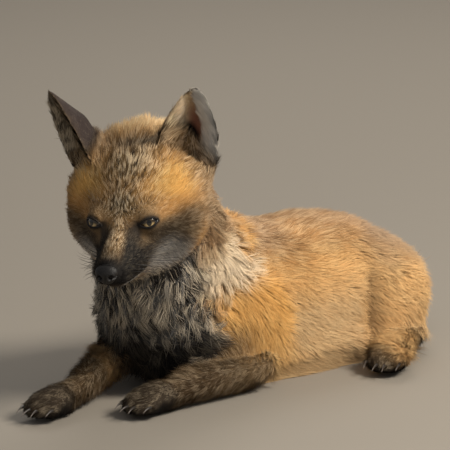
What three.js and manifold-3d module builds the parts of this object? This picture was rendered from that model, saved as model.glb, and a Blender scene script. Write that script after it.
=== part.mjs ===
// A red fox cub, about eight weeks old, lying on its belly with its head up and turned to its left.
//
// Millimetres, +Z up. The cub faces -Y and its left side is +X. Every outline is taken at the tips
// of the coat. The body is one smooth form: balls and tapered limbs that melt into one another are
// described by their distance functions, a net of faces is drawn over them, and thin cuts part the
// net into the head, neck, trunk and limbs. Whatever touches the ground is cut flat at z = 0.

import * as THREE from 'three';
import { mergeVertices } from 'three/addons/utils/BufferGeometryUtils.js';
import Module from 'manifold-3d';

const wasm = await Module();
wasm.setup();

// ---------------------------------------------------------------- driving dimensions

const GAP = 0.3;                 // clear space between neighbouring pieces
// Face sizes across, along and up each part; a pair grows from the first end to the last.
const TRUNK_MESH = [14.5, 19, 14.5];
const HEAD_MESH = [6.7, [4.9, 9.8], 6.6];
const LEG_MESH = [9, 14, 9];
const PAW_MESH = [5.2, 7, 5.8];
const TAIL_MESH = [12.5, 15, 11.5];
const OUTSIDE = 1;               // a grid value that counts as outside the shape
const INSIDE = -0.1;             // and one that counts as just inside

// The cuts that part the body. Each plane stands on a block, which has the size of what it frees.
const HEAD_CUT = { at: [16, -86, 120], turn: 16, nod: -51, size: [190, 200, 170] };
const NECK_CUT = { at: [4, -50, 84], turn: 6, nod: -58, size: [190, 240, 260] };
const CHEST_BACK = -22;          // y of the cut behind the shoulders
const RUMP_FRONT = 96;           // y of the cut before the haunches
const PAW_CUT = { behind: 14, size: [80, 90, 120] };
const BEYOND = 400;              // past the body in every direction

const HEAD_CENTRE = [24.2, -101.2, 134];   // middle of the skull, level with the cheeks
const HEAD_TURN = 28;                      // degrees to the cub's left
const HEAD_NOD = 16;                       // degrees nose down
const HEAD_TILT = 4;                       // degrees, left ear up

const EYE_RADIUS = 8;
const EYE_SPREAD = 16.3;         // from the head's middle plane to the centre of an eye
const EYE_FORWARD = 36;
const EYE_RISE = 8;
const NOSE_FORWARD = 81;         // from the skull's centre to the centre of the nose pad
const NOSE_DROP = 7.5;
const NOSE_HALF = [7.6, 5.6, 5.8];   // across, along and up the nose pad
const NOSE_WIDENING = 0.28;          // how much broader it is above than below

const EAR_LENGTH = 68;           // from inside the head to the tip
const EAR_WIDTH = 43;
const EAR_WALL = 4.2;            // cartilage with its short fur
const EAR_CUP = 19;              // depth of the bowl
const EAR_BASE = 0.86;           // width at the base, as a share of the greatest
const EAR_WIDEST = 0.4;          // share of the length at which the ear is widest
const EAR_SWEEP = 5;             // how far the tip leans back

const CLAW_LENGTH = 11;
const CLAW_RADIUS = 1.7;
const CLAW_DROP = 3.2;           // how far the tip bends down
const CLAW_SEAT = 2;             // from the toe's end to the middle of the claw
const CLAW_RISE = 0.4;           // above the middle of the toe
const CLAW_FAN = 1.1;            // the claws stand this much wider apart than the toes

// ---------------------------------------------------------------- colours

const finish = (color, roughness) => ({ color, roughness, metalness: 0 });
const COAT = {
  face: finish(0xa8743f, 0.9),
  back: finish(0xb98a62, 0.9),
  flank: finish(0xc98f50, 0.9),
  breast: finish(0x8d8378, 0.9),
  stocking: finish(0x40352f, 0.9),
  ear: finish(0x4a4040, 0.85),
  tail: finish(0xa87a50, 0.9),
  tailTip: finish(0xe4ddd0, 0.9),
};
const HORN = finish(0x8f7d68, 0.45);
const EYE = finish(0x8a6a32, 0.12);
const NOSE = finish(0x17130f, 0.4);

// ---------------------------------------------------------------- distance functions

const vec = ([x, y, z]) => new THREE.Vector3(x, y, z);
const rad = THREE.MathUtils.degToRad;
const rad2deg = THREE.MathUtils.radToDeg;

// A place to build in: its origin, then turned about Z, X and Y in that order, in degrees.
function place(origin, turn = 0, nod = 0, tilt = 0) {
  const euler = new THREE.Euler(rad(nod), rad(tilt), rad(turn), 'ZXY');
  const matrix = new THREE.Matrix4().makeRotationFromEuler(euler);
  return matrix.setPosition(...origin);
}

const BODY = place([0, 0, 0]);
const HEAD = place(HEAD_CENTRE, HEAD_TURN, HEAD_NOD, -HEAD_TILT);

// An egg-shaped ball with three radii.
function ball(frame, centre, radii) {
  const inverse = frame.clone().invert();
  const middle = vec(centre);
  const size = vec(radii);
  const size2 = size.clone().multiply(size);
  return (p) => {
    const q = p.clone().applyMatrix4(inverse).sub(middle);
    const near = q.clone().divide(size).length();
    const far = q.divide(size2).length();
    return far < 1e-6 ? -Math.min(...radii) : (near * (near - 1)) / far;
  };
}

// A round limb through [x, y, z, radius] stations.
function limb(frame, stations) {
  const joints = stations.map((s) => ({ at: vec(s).applyMatrix4(frame), radius: s[3] }));
  return (p) => {
    let nearest = Infinity;
    for (let i = 1; i < joints.length; i++) {
      const from = joints[i - 1];
      const to = joints[i];
      const along = to.at.clone().sub(from.at);
      const reach = p.clone().sub(from.at);
      const t = THREE.MathUtils.clamp(reach.dot(along) / along.lengthSq(), 0, 1);
      const radius = THREE.MathUtils.lerp(from.radius, to.radius, t);
      nearest = Math.min(nearest, reach.addScaledVector(along, -t).length() - radius);
    }
    return nearest;
  };
}

// Shapes melted together; the fillet between them is about `soft` wide.
const melt = (soft, ...shapes) => (p) => shapes.map((shape) => shape(p)).reduce((a, b) => {
  const share = Math.max(soft - Math.abs(a - b), 0) / soft;
  return Math.min(a, b) - (share * share * soft) / 4;
});

// A shape with others pressed out of it.
const hollow = (soft, shape, ...holes) => (p) => -melt(soft, (q) => -shape(q), ...holes)(p);

const mirrored = (build) => [build(1), build(-1)];

// ---------------------------------------------------------------- the net over a shape

// Draws one point in every cell that the surface passes through, moves it onto the surface,
// and joins the points of the four cells round each crossed edge. The cells stand in `frame`.
function net(shape, frame, low, high, steps) {
  const lines = steps.map((step, k) => {
    const [first, last] = [step].flat().length > 1 ? step : [step, step];
    const line = [low[k]];
    while (line.at(-1) < high[k]) {
      const share = (line.at(-1) - low[k]) / (high[k] - low[k]);
      line.push(line.at(-1) + THREE.MathUtils.lerp(first, last, share));
    }
    return line;
  });
  const count = lines.map((line) => line.length);
  const index = (i, j, k) => (k * count[1] + j) * count[0] + i;
  const corner = (...at) => vec(at.map((n, k) => lines[k][n])).applyMatrix4(frame);
  const value = new Float64Array(count[0] * count[1] * count[2]);
  const inside = (at) => value[index(...at)] < 0;
  const everyCorner = (visit) => {
    for (let k = 0; k < count[2] - 1; k++) {
      for (let j = 0; j < count[1] - 1; j++) {
        for (let i = 0; i < count[0] - 1; i++) visit([i, j, k]);
      }
    }
  };
  const stepped = (at, axis, by = 1) => at.map((n, k) => (k === axis % 3 ? n + by : n));
  everyCorner((at) => {
    value[index(...at)] = at.includes(0) ? OUTSIDE : shape(corner(...at));
  });
  for (let k = 0; k < value.length; k++) value[k] ||= OUTSIDE;

  // A cell face crossed twice would pinch the net, so its nearest outside corner is taken in.
  for (let pinched = true; pinched;) {
    pinched = false;
    everyCorner((at) => {
      for (let axis = 0; axis < 3; axis++) {
        const ring = [at, stepped(at, axis + 1), stepped(stepped(at, axis + 1), axis + 2), stepped(at, axis + 2)];
        const [a, b, c, d] = ring.map(inside);
        if (a !== c || b !== d || a === b) continue;
        const [p, q] = ring.filter((spot) => !inside(spot)).map((spot) => index(...spot));
        value[value[p] < value[q] ? p : q] = INSIDE;
        pinched = true;
      }
    });
  }

  const points = [];
  const pointOf = new Map();
  const cellPoint = (cell) => {
    const key = index(...cell);
    if (pointOf.has(key)) return pointOf.get(key);
    const sum = new THREE.Vector3();
    let crossings = 0;
    for (let axis = 0; axis < 3; axis++) {
      for (let side = 0; side < 4; side++) {
        const a = stepped(stepped(cell, axis + 1, side & 1), axis + 2, side >> 1);
        const b = stepped(a, axis);
        if (inside(a) === inside(b)) continue;
        const da = value[index(...a)];
        const db = value[index(...b)];
        sum.add(corner(...a).lerp(corner(...b), da / (da - db)));
        crossings += 1;
      }
    }
    points.push(sum.divideScalar(crossings));
    pointOf.set(key, points.length - 1);
    return points.length - 1;
  };

  const faces = [];
  everyCorner((at) => {
    for (let axis = 0; axis < 3; axis++) {
      if (inside(at) === inside(stepped(at, axis))) continue;
      const ring = [[0, 0], [1, 0], [1, 1], [0, 1]]
        .map(([u, v]) => cellPoint(stepped(stepped(at, axis + 1, -u), axis + 2, -v)));
      if (!inside(at)) ring.reverse();
      const [p, q, r, s] = ring;
      const flat = points[p].distanceTo(points[r]) < points[q].distanceTo(points[s]);
      faces.push(...(flat ? [p, q, r, p, r, s] : [p, q, s, q, r, s]));
    }
  });
  const geometry = new THREE.BufferGeometry();
  geometry.setAttribute('position', new THREE.Float32BufferAttribute(points.flatMap((p) => p.toArray()), 3));
  geometry.setIndex(faces);
  return geometry;
}

// ---------------------------------------------------------------- solids, cuts and joins

function welded(geometry) {
  geometry.deleteAttribute('normal');
  geometry.deleteAttribute('uv');
  return mergeVertices(geometry, 1e-4);
}

function solid(geometry) {
  const closed = welded(geometry);
  return new wasm.Manifold(new wasm.Mesh({
    numProp: 3,
    vertProperties: new Float32Array(closed.attributes.position.array),
    triVerts: new Uint32Array(closed.index.array),
  }));
}

function surface(manifold) {
  const { vertProperties, triVerts } = manifold.getMesh();
  const geometry = new THREE.BufferGeometry();
  geometry.setAttribute('position', new THREE.BufferAttribute(new Float32Array(vertProperties), 3));
  geometry.setIndex(new THREE.BufferAttribute(new Uint32Array(triVerts), 1));
  return geometry;
}

// The same solid with its surface moved out by the gap, to cut a neighbour with.
function grown(manifold) {
  const geometry = surface(manifold);
  geometry.computeVertexNormals();
  const { position, normal } = geometry.attributes;
  for (let i = 0; i < position.count; i++) {
    const p = new THREE.Vector3().fromBufferAttribute(position, i);
    p.addScaledVector(new THREE.Vector3().fromBufferAttribute(normal, i), GAP);
    position.setXYZ(i, ...p);
  }
  return solid(geometry);
}

// The biggest single body of a cut solid; crumbs left by a cut are dropped.
const largest = (manifold) => manifold.decompose().sort((a, b) => b.volume() - a.volume())[0];

// A block in front (-Y) of a cutting plane that stands in the frame's XZ plane.
function block(frame, [width, depth, height], shift) {
  const box = new THREE.BoxGeometry(width, depth, height);
  return solid(box.translate(0, -depth / 2 - shift, 0).applyMatrix4(frame));
}

const egg = (centre, [x, y, z], more = 0) => solid(new THREE.SphereGeometry(1, 14, 8)
  .scale(x + more, y + more, z + more).translate(...centre));

const GROUND = solid(new THREE.BoxGeometry(2 * BEYOND, 2 * BEYOND, BEYOND).translate(0, 0, -BEYOND / 2));

// ---------------------------------------------------------------- trunk, neck and head

const breast = ball(BODY, [2, -62, 54], [46, 42, 50]);
const ribs = ball(BODY, [0, -6, 55], [54, 78, 55]);
const withers = ball(BODY, [0, -26, 80], [35, 38, 33]);
const belly = ball(BODY, [0, 68, 52], [56, 78, 51]);
const underside = ball(BODY, [0, 48, 18], [57, 108, 30]);
const rump = ball(BODY, [0, 119, 38], [50, 62, 44]);
const shoulders = mirrored((side) => ball(BODY, [side * 41, side > 0 ? -28 : -40, 42], [19, 38, 42]));
const thighs = mirrored((side) => ball(BODY, [side * 40, 115, 36], [23, 42, 38]));
const trunk = melt(14, breast, ribs, withers, belly, underside, rump, ...shoulders);
const throat = limb(BODY, [[0, -34, 70, 46], [10, -70, 96, 40], [18, -92, 120, 36]]);
const scruff = ball(BODY, [8, -58, 122], [34, 28, 38]);
const ruff = ball(BODY, [20, -94, 90], [36, 26, 34]);

const cranium = ball(HEAD, [0, 4, 8], [37, 42, 33]);
const nape = ball(HEAD, [-4, 32, 13], [39, 28, 31]);
const temples = mirrored((side) => ball(HEAD, [side * 30, 3, 7], [20, 25, 24]));
const brow = ball(HEAD, [0, -20, 12], [26, 22, 17]);
const bridge = limb(HEAD, [[0, -30, 5, 12], [0, -54, 0, 10], [0, -76, -6, 8]]);
const lips = mirrored((side) => limb(HEAD, [[side * 12, -40, -12, 10], [side * 6, -72, -11, 7.3]]));
const jaw = limb(HEAD, [[0, -28, -22, 14], [0, -68, -19, 6.5]]);
const cheeks = mirrored((side) => ball(HEAD, [side * 27, -5, -3], [24, 30, 25]));
const jowls = mirrored((side) => ball(HEAD, [side * 21, 8, -22], [19, 26, 21]));
const sockets = mirrored((side) => ball(HEAD, [side * 22, -46, 8.5], [8.5, 7, 6]));
const skull = melt(10, cranium, brow, ...temples, ...cheeks, ...jowls, nape);
const muzzle = melt(5, bridge, ...lips, jaw);
const headShape = hollow(4, melt(9, skull, muzzle), ...sockets);

// The thighs melt in least, so that a crease runs down in front of each haunch.
const bodyShape = melt(6, melt(20, trunk, throat, scruff, ruff), ...thighs);
const wholeShape = melt(16, bodyShape, headShape);

// ---------------------------------------------------------------- limbs and tail

// The elbow, wrist and toe stations of each foreleg, and the hock and toes of each hind leg.
const FORELEGS = {
  left: { elbow: [50, -20, 18], wrist: [51, -91, 14], toes: [48, -118, 9], heading: 10 },
  right: { elbow: [-34, -50, 25], wrist: [3, -139, 14], toes: [9, -170, 9], heading: 12 },
};
const HIND_LEGS = {
  left: { hock: [49, 130, 15], toes: [80, 76, 9], heading: 26 },
  right: { hock: [-48, 132, 15], toes: [-74, 74, 9], heading: -22 },
};
const PAW_LENGTH = 30;
const TOE_PITCH = 7.2;
const TOE_RADIUS = 5.6;

// Four toes side by side on a low pad, the middle two longer.
const toeSpots = [-1.5, -0.5, 0.5, 1.5].map((n) => ({
  x: n * TOE_PITCH,
  y: -PAW_LENGTH * (Math.abs(n) < 1 ? 0.62 : 0.42),
  splay: n * 5,
}));

function pawShape(frame) {
  const pad = ball(frame, [0, 4, 1], [14, 17, 10]);
  const toes = toeSpots.map(({ x, y }) => limb(frame, [
    [x * 0.75, 2, 4, TOE_RADIUS], [x, y * 0.6, 2.5, TOE_RADIUS], [x * 1.08, y, -2, TOE_RADIUS - 0.6],
  ]));
  return melt(5, pad, melt(2.2, ...toes));
}

function foreleg({ elbow, wrist, toes, heading }) {
  const paw = place(toes, heading);
  const fore = limb(BODY, [[...elbow, 17], [...wrist, 13], [...toes, 9]]);
  return { root: vec(elbow), paw, shape: melt(7, fore, pawShape(paw)) };
}

function hindLeg({ hock, toes, heading }) {
  const paw = place(toes, heading);
  const metatarsus = limb(BODY, [[...hock, 13], [...toes, 9.5]]);
  return { root: vec(hock), paw, shape: melt(7, metatarsus, pawShape(paw)) };
}

const TAIL_BEND = -50;           // x of the cut behind the rump
const TAIL_TIP = 108;            // y of the cut before the white tip
const TAIL = [
  [0, 158, 40, 15], [-18, 184, 26, 17], [-48, 195, 19, 19], [-82, 186, 19, 21], [-111, 160, 20, 22],
  [-123, 124, 20, 21], [-121, 90, 17, 17], [-113, 64, 12, 9],
];

// ---------------------------------------------------------------- ears, eyes, nose and claws

// A ball pressed into a cupped leaf with a round tip: its front half is the bowl.
function earGeometry(side) {
  const geometry = new THREE.SphereGeometry(1, 14, 9).rotateX(Math.PI / 2);
  const { position } = geometry.attributes;
  for (let i = 0; i < position.count; i++) {
    const p = new THREE.Vector3().fromBufferAttribute(position, i);
    const up = (p.z + 1) / 2;
    const ring = Math.sqrt(Math.max(1 - p.z * p.z, 0)) || 1;
    const across = p.x / ring;
    const through = p.y / ring;
    const swell = EAR_BASE + (1 - EAR_BASE) * Math.sin((Math.PI / 2) * Math.min(up / EAR_WIDEST, 2));
    const half = (EAR_WIDTH / 2) * swell * Math.pow(Math.max(1 - up ** 3.4, 0), 0.62);
    const bowl = EAR_CUP * (1 - across * across) * Math.min(1, 2.2 * (1 - up));
    const wall = (EAR_WALL / 2) * through * (1 - 0.5 * up);
    position.setXYZ(i, side * half * across, bowl + wall + EAR_SWEEP * up * up, EAR_LENGTH * up);
  }
  if (side < 0) geometry.index.array.reverse();
  return geometry;
}

const EARS = {
  left: { side: 1, at: [28, 5, 12], out: 14, back: 11, face: 12 },
  right: { side: -1, at: [-36, 4, 14], out: -23, back: 8, face: -44 },
};

function earSolid({ side, at, out, back, face }) {
  const stance = place([0, 0, 0], face).premultiply(
    new THREE.Matrix4().makeRotationFromEuler(new THREE.Euler(rad(-back), rad(out), 0, 'YXZ')),
  );
  const frame = HEAD.clone().multiply(new THREE.Matrix4().makeTranslation(...at)).multiply(stance);
  return solid(earGeometry(side).applyMatrix4(frame));
}

const eyeSolid = (side, more = 0) => solid(new THREE.SphereGeometry(EYE_RADIUS + more, 10, 7)
  .translate(side * EYE_SPREAD, -EYE_FORWARD, EYE_RISE).applyMatrix4(HEAD));

// The nose pad: broad above, narrowing to the lip below.
function noseSolid(more = 0) {
  const geometry = new THREE.SphereGeometry(1, 10, 7);
  const { position } = geometry.attributes;
  const [across, along, high] = NOSE_HALF.map((half) => half + more);
  for (let i = 0; i < position.count; i++) {
    const p = new THREE.Vector3().fromBufferAttribute(position, i);
    const width = across * (1 + NOSE_WIDENING * p.z);
    position.setXYZ(i, p.x * width, p.y * along, p.z * high);
  }
  return solid(geometry.translate(0, -NOSE_FORWARD, -NOSE_DROP).applyMatrix4(HEAD));
}

// A cone bent down towards its tip.
function clawSolid(frame, { x, y, splay }) {
  const geometry = new THREE.ConeGeometry(CLAW_RADIUS, CLAW_LENGTH, 4, 2).rotateX(-Math.PI / 2);
  const { position } = geometry.attributes;
  for (let i = 0; i < position.count; i++) {
    const t = 0.5 - position.getZ(i) / CLAW_LENGTH;
    position.setXYZ(i, position.getX(i), position.getZ(i), -position.getY(i) - CLAW_DROP * t * t);
  }
  const spot = new THREE.Matrix4().makeRotationZ(rad(-splay));
  spot.setPosition(x * CLAW_FAN, y - TOE_RADIUS - CLAW_SEAT, CLAW_RISE);
  return solid(geometry.applyMatrix4(frame.clone().multiply(spot)));
}

// ---------------------------------------------------------------- parting the whole

const pieces = [];
function keep(name, manifold, look) {
  pieces.push({ name, manifold, look });
  return manifold;
}

const wholeTrunk = solid(net(wholeShape, BODY, [-90, -150, -25], [90, 200, 200], TRUNK_MESH));

// The two faces of a cut, half the gap to each side of its plane.
const parting = ({ at, turn, nod, size }) => {
  const frame = place(at, turn, nod);
  return { front: block(frame, size, GAP / 2), void: block(frame, size, -GAP / 2) };
};
const headCut = parting(HEAD_CUT);
const neckCut = parting(NECK_CUT);

const shoulderEggs = { left: [[64, -26, 38], [27, 40, 50]], right: [[-64, -38, 38], [27, 40, 50]] };
const thighEggs = { left: [[60, 116, 34], [38, 46, 42]], right: [[-60, 116, 34], [38, 46, 42]] };

const eyes = { left: eyeSolid(1), right: eyeSolid(-1) };
const nose = noseSolid();
let head = solid(net(wholeShape, HEAD, [-66, -96, -60], [66, 80, 62], HEAD_MESH)).intersect(headCut.front);
for (const cut of [eyeSolid(1, GAP), eyeSolid(-1, GAP), noseSolid(GAP)]) head = head.subtract(cut);
head = keep('head', largest(head), COAT.face);
const headSkin = grown(head);
for (const side of ['left', 'right']) {
  keep(`ear_${side}`, largest(earSolid(EARS[side]).subtract(headSkin)), COAT.ear);
  keep(`eye_${side}`, eyes[side], EYE);
}
keep('nose', nose, NOSE);

keep('neck', largest(wholeTrunk.subtract(headCut.void).intersect(neckCut.front)), COAT.breast);
let torso = wholeTrunk.subtract(headCut.void).subtract(neckCut.void).subtract(GROUND);
for (const side of ['left', 'right']) {
  keep(`shoulder_${side}`, largest(torso.intersect(egg(...shoulderEggs[side]))), COAT.flank);
  keep(`thigh_${side}`, largest(torso.intersect(egg(...thighEggs[side]))), COAT.flank);
}
for (const side of ['left', 'right']) {
  torso = torso.subtract(egg(...shoulderEggs[side], GAP)).subtract(egg(...thighEggs[side], GAP));
}
const slab = (from, to) => solid(new THREE.BoxGeometry(BEYOND, to - from - GAP, BEYOND)
  .translate(0, (from + to) / 2, 0));
keep('chest', largest(torso.intersect(slab(-BEYOND, CHEST_BACK))), COAT.breast);
keep('barrel', largest(torso.intersect(slab(CHEST_BACK, RUMP_FRONT))), COAT.back);
keep('rump', largest(torso.intersect(slab(RUMP_FRONT, BEYOND))), COAT.back);

// Each limb is drawn along its own line, hugs the trunk, and is cut across above the toes.
const trunkVoid = grown(wholeTrunk);
function keepLimb(side, { root, paw, shape }, upper, lower) {
  const clear = (geometry) => solid(geometry).subtract(GROUND).subtract(trunkVoid);
  const toes = new THREE.Vector3().setFromMatrixPosition(paw);
  const reach = root.distanceTo(toes);
  const line = place(toes.toArray(), rad2deg(Math.atan2(toes.x - root.x, root.y - toes.y)));
  const cut = paw.clone().multiply(new THREE.Matrix4().makeTranslation(0, PAW_CUT.behind, 0));
  const whole = clear(net(shape, line, [-36, -45, -20], [36, reach + 40, 50], LEG_MESH));
  keep(`${upper}_${side}`, largest(whole.subtract(block(cut, PAW_CUT.size, -GAP / 2))), COAT.stocking);
  const pawNet = net(shape, paw, [-26, -40, -17], [26, 34, 36], PAW_MESH);
  keep(`${lower}_${side}`, largest(clear(pawNet).intersect(block(cut, PAW_CUT.size, GAP / 2))), COAT.stocking);
  const pawSkin = grown(solid(pawNet));
  toeSpots.forEach((spot, n) => {
    const claw = largest(clawSolid(paw, spot).subtract(pawSkin).subtract(trunkVoid));
    keep(`${lower}_${side}_claw_${n + 1}`, claw, HORN);
  });
}
for (const side of ['left', 'right']) {
  keepLimb(side, foreleg(FORELEGS[side]), 'forearm', 'forepaw');
  keepLimb(side, hindLeg(HIND_LEGS[side]), 'hock', 'hindpaw');
}

// The tail leaves the rump low down, turns round it and lies along the right side.
const brush = solid(net(limb(BODY, TAIL), BODY, [-160, 30, -15], [40, 230, 70], TAIL_MESH))
  .subtract(GROUND).subtract(trunkVoid);
const half = (x, y) => solid(new THREE.BoxGeometry(BEYOND, BEYOND, BEYOND).translate(x, y, 0));
const past = (BEYOND + GAP) / 2;
keep('tail_root', largest(brush.intersect(half(TAIL_BEND + past, RUMP_FRONT))), COAT.tail);
const brushEnd = brush.intersect(half(TAIL_BEND - past, RUMP_FRONT));
keep('tail_middle', largest(brushEnd.intersect(half(TAIL_BEND, TAIL_TIP + past))), COAT.tail);
keep('tail_tip', largest(brushEnd.intersect(half(TAIL_BEND, TAIL_TIP - past))), COAT.tailTip);

// ---------------------------------------------------------------- the finished cub

const group = new THREE.Group();
for (const { name, manifold, look } of pieces) {
  const mesh = new THREE.Mesh(surface(manifold), new THREE.MeshStandardMaterial(look));
  mesh.name = name;
  group.add(mesh);
}
const bounds = new THREE.Box3().setFromObject(group);
const middle = bounds.getCenter(new THREE.Vector3());
group.position.set(-middle.x, -middle.y, -bounds.min.z);

export default group;
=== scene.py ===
import math

import bpy
import numpy as np
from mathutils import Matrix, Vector
from mathutils.bvhtree import BVHTree
from mathutils.kdtree import KDTree


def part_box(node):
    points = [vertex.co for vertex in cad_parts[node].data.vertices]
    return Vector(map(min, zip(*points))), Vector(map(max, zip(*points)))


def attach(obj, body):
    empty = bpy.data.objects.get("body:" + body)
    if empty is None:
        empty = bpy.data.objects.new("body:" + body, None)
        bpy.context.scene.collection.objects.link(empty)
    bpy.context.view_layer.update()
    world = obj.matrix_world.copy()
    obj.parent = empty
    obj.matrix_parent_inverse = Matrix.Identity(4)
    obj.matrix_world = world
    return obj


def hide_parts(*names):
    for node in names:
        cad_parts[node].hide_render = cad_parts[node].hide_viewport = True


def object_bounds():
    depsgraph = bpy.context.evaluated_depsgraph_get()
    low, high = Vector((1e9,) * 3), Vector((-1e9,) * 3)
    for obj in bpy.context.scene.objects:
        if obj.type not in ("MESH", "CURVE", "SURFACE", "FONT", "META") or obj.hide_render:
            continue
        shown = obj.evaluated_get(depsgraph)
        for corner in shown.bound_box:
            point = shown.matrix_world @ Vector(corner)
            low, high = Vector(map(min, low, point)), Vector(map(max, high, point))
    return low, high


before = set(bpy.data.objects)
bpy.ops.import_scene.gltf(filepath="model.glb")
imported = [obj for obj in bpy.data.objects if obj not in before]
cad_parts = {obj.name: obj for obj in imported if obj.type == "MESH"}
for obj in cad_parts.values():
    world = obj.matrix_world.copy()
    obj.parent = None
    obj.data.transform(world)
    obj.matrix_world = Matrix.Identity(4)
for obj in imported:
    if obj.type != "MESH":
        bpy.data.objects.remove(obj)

cad_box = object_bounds()
MM = 0.001
rng = np.random.default_rng(7)

# ---------------------------------------------------------------- the hide
# One unbroken skin over head, neck, trunk, legs and tail, lying under the tips of the coat by
# the coat's depth. It is cast from the joined forms of the body, then drawn in and smoothed.

FLESH = [
    "head", "ear_left", "ear_right", "neck", "chest", "barrel", "rump",
    "shoulder_left", "shoulder_right", "thigh_left", "thigh_right",
    "forearm_left", "forearm_right", "forepaw_left", "forepaw_right",
    "hock_left", "hock_right", "hindpaw_left", "hindpaw_right",
    "tail_root", "tail_middle", "tail_tip",
]
FILLED = ["eye_left", "eye_right", "nose"]       # cast with the flesh, so that no pit is left
OVERLAP = 0.45 * MM                              # closes the thin cuts between the parts
EAR_OVERLAP = 0.9 * MM                           # keeps the thin edge of the ear in the cast
CAST = 1.25 * MM                                 # mesh size of the cast
HIDE_TRIANGLES = 150000


def read(items, name, width, kind=float):
    """One property of all of a mesh's items, as rows of width numbers."""
    values = np.zeros(len(items) * width, kind)
    items.foreach_get(name, values)
    return values.reshape(-1, width)


def triangles_of(mesh):
    mesh.calc_loop_triangles()
    return read(mesh.loop_triangles, "vertices", 3, np.int32)


def welded(node):
    """A node's points and triangles, with the corners that meet made one."""
    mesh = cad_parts[node].data
    points, where = np.unique(np.round(read(mesh.vertices, "co", 3), 6), axis=0, return_inverse=True)
    faces = where.ravel()[triangles_of(mesh)]
    return points, faces[(faces[:, 0] != faces[:, 1]) & (faces[:, 1] != faces[:, 2])
                         & (faces[:, 2] != faces[:, 0])]


def joined(parts):
    """Pairs of points and faces as one pair."""
    starts = np.cumsum([0] + [len(points) for points, _ in parts])
    return (np.concatenate([points for points, _ in parts]),
            np.concatenate([faces + start for (_, faces), start in zip(parts, starts)]))


def search_tree(points, faces):
    return BVHTree.FromPolygons([Vector(p) for p in points], faces.tolist())


def unit(vectors):
    return vectors / np.maximum(np.linalg.norm(vectors, axis=-1, keepdims=True), 1e-12)


def outward(points, faces):
    """Each point's normal, from the faces round it."""
    a, b, c = (points[faces[:, i]] for i in range(3))
    face = np.cross(b - a, c - a)
    total = np.zeros_like(points)
    for i in range(3):
        for k in range(3):
            total[:, k] += np.bincount(faces[:, i], face[:, k], len(points))
    return unit(total)


def made(name, points, faces):
    """A mesh object from points and faces that all have the same number of corners."""
    mesh = bpy.data.meshes.new(name)
    mesh.vertices.add(len(points))
    mesh.vertices.foreach_set("co", np.asarray(points, np.float32).ravel())
    mesh.loops.add(faces.size)
    mesh.loops.foreach_set("vertex_index", np.asarray(faces, np.int32).ravel())
    mesh.polygons.add(len(faces))
    mesh.polygons.foreach_set("loop_start", np.arange(0, faces.size, faces.shape[1], dtype=np.int32))
    mesh.update(calc_edges=True)
    piece = bpy.data.objects.new(name, mesh)
    bpy.context.scene.collection.objects.link(piece)
    return piece


def set_points(piece, points):
    piece.data.vertices.foreach_set("co", points.astype(np.float32).ravel())
    piece.data.update()


def only(piece):
    bpy.ops.object.select_all(action="DESELECT")
    piece.select_set(True)
    bpy.context.view_layer.objects.active = piece


parts = []
for node in FLESH + FILLED:
    p, f = welded(node)
    grown = 0.0 if node in FILLED else EAR_OVERLAP if node.startswith("ear") else OVERLAP
    parts.append((p + outward(p, f) * grown, f))
hide = made("hide", *joined(parts))
only(hide)
cast = hide.modifiers.new("cast", "REMESH")
cast.mode = "VOXEL"
cast.voxel_size = CAST
bpy.ops.object.modifier_apply(modifier="cast")

# The head's own frame: left, back and up from the eyes and the nose, which lie in known places.
EYE_SET = Vector((0.0, -36.0, 8.0)) * MM         # between the eyes
NOSE_SET = Vector((0.0, -81.0, -7.5)) * MM       # middle of the nose pad


def middle(node):
    low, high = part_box(node)
    return (low + high) / 2


between_eyes = (middle("eye_left") + middle("eye_right")) / 2
left = (middle("eye_left") - middle("eye_right")).normalized()
reach = NOSE_SET - EYE_SET
forward = middle("nose") - between_eyes
forward = (forward - left * forward.dot(left)).normalized()
aside = left.cross(forward)
a, b = -reach.y / reach.length, -reach.z / reach.length
back = aside * b - forward * a
up = -forward * b - aside * a
HEAD_AXES = np.array([left, back, up])
head_origin = np.array(between_eyes - back * EYE_SET.y - up * EYE_SET.z)


def in_head(points):
    """Points of the whole model in the head's frame, in millimetres."""
    return (points - head_origin) @ HEAD_AXES.T / MM


def from_head(points):
    return (np.asarray(points, float) * MM) @ HEAD_AXES + head_origin


def step(low, high, value):
    """0 below low, 1 above high, and smooth between."""
    t = np.clip((np.asarray(value, float) - low) / (high - low), 0, 1)
    return t * t * (3 - 2 * t)


def spot(q, centre, radii):
    """A soft patch, 1 at its centre."""
    return np.exp(-(((q - np.array(centre)) / np.array(radii)) ** 2).sum(1))


class Surface:
    """The hide's mesh as arrays, read again after each change of its faces."""

    def __init__(self, piece):
        mesh = piece.data
        self.points = read(mesh.vertices, "co", 3)
        self.edges = read(mesh.edges, "vertices", 2, np.int32)
        self.count = np.maximum(np.bincount(self.edges.ravel(), minlength=len(self.points)), 1)
        self.triangles = triangles_of(mesh)

    def spread(self, values, rounds, hold=0.0):
        """Evens out a value over the surface, each round with its neighbours' mean."""
        values = np.array(values, float)
        flat = values.reshape(len(values), -1)
        a, b = self.edges[:, 0], self.edges[:, 1]
        n = len(self.points)
        for _ in range(rounds):
            mean = np.stack([
                (np.bincount(a, column[b], n) + np.bincount(b, column[a], n)) / self.count
                for column in flat.T], 1)
            flat = hold * flat + (1 - hold) * mean
        return flat.reshape(values.shape)

    def normals(self):
        return outward(self.points, self.triangles)


def labels(points):
    """For each point, the number of the nearest part in FLESH."""
    parts = [welded(node) for node in FLESH]
    owner = np.repeat(range(len(FLESH)), [len(faces) for _, faces in parts])
    tree = search_tree(*joined(parts))
    return np.array([owner[tree.find_nearest(Vector(p))[2]] for p in points])


def named(label, *names):
    """Which points belong to the parts whose names begin so."""
    return np.isin(label, [i for i, n in enumerate(FLESH) if n.startswith(names)])


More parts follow.
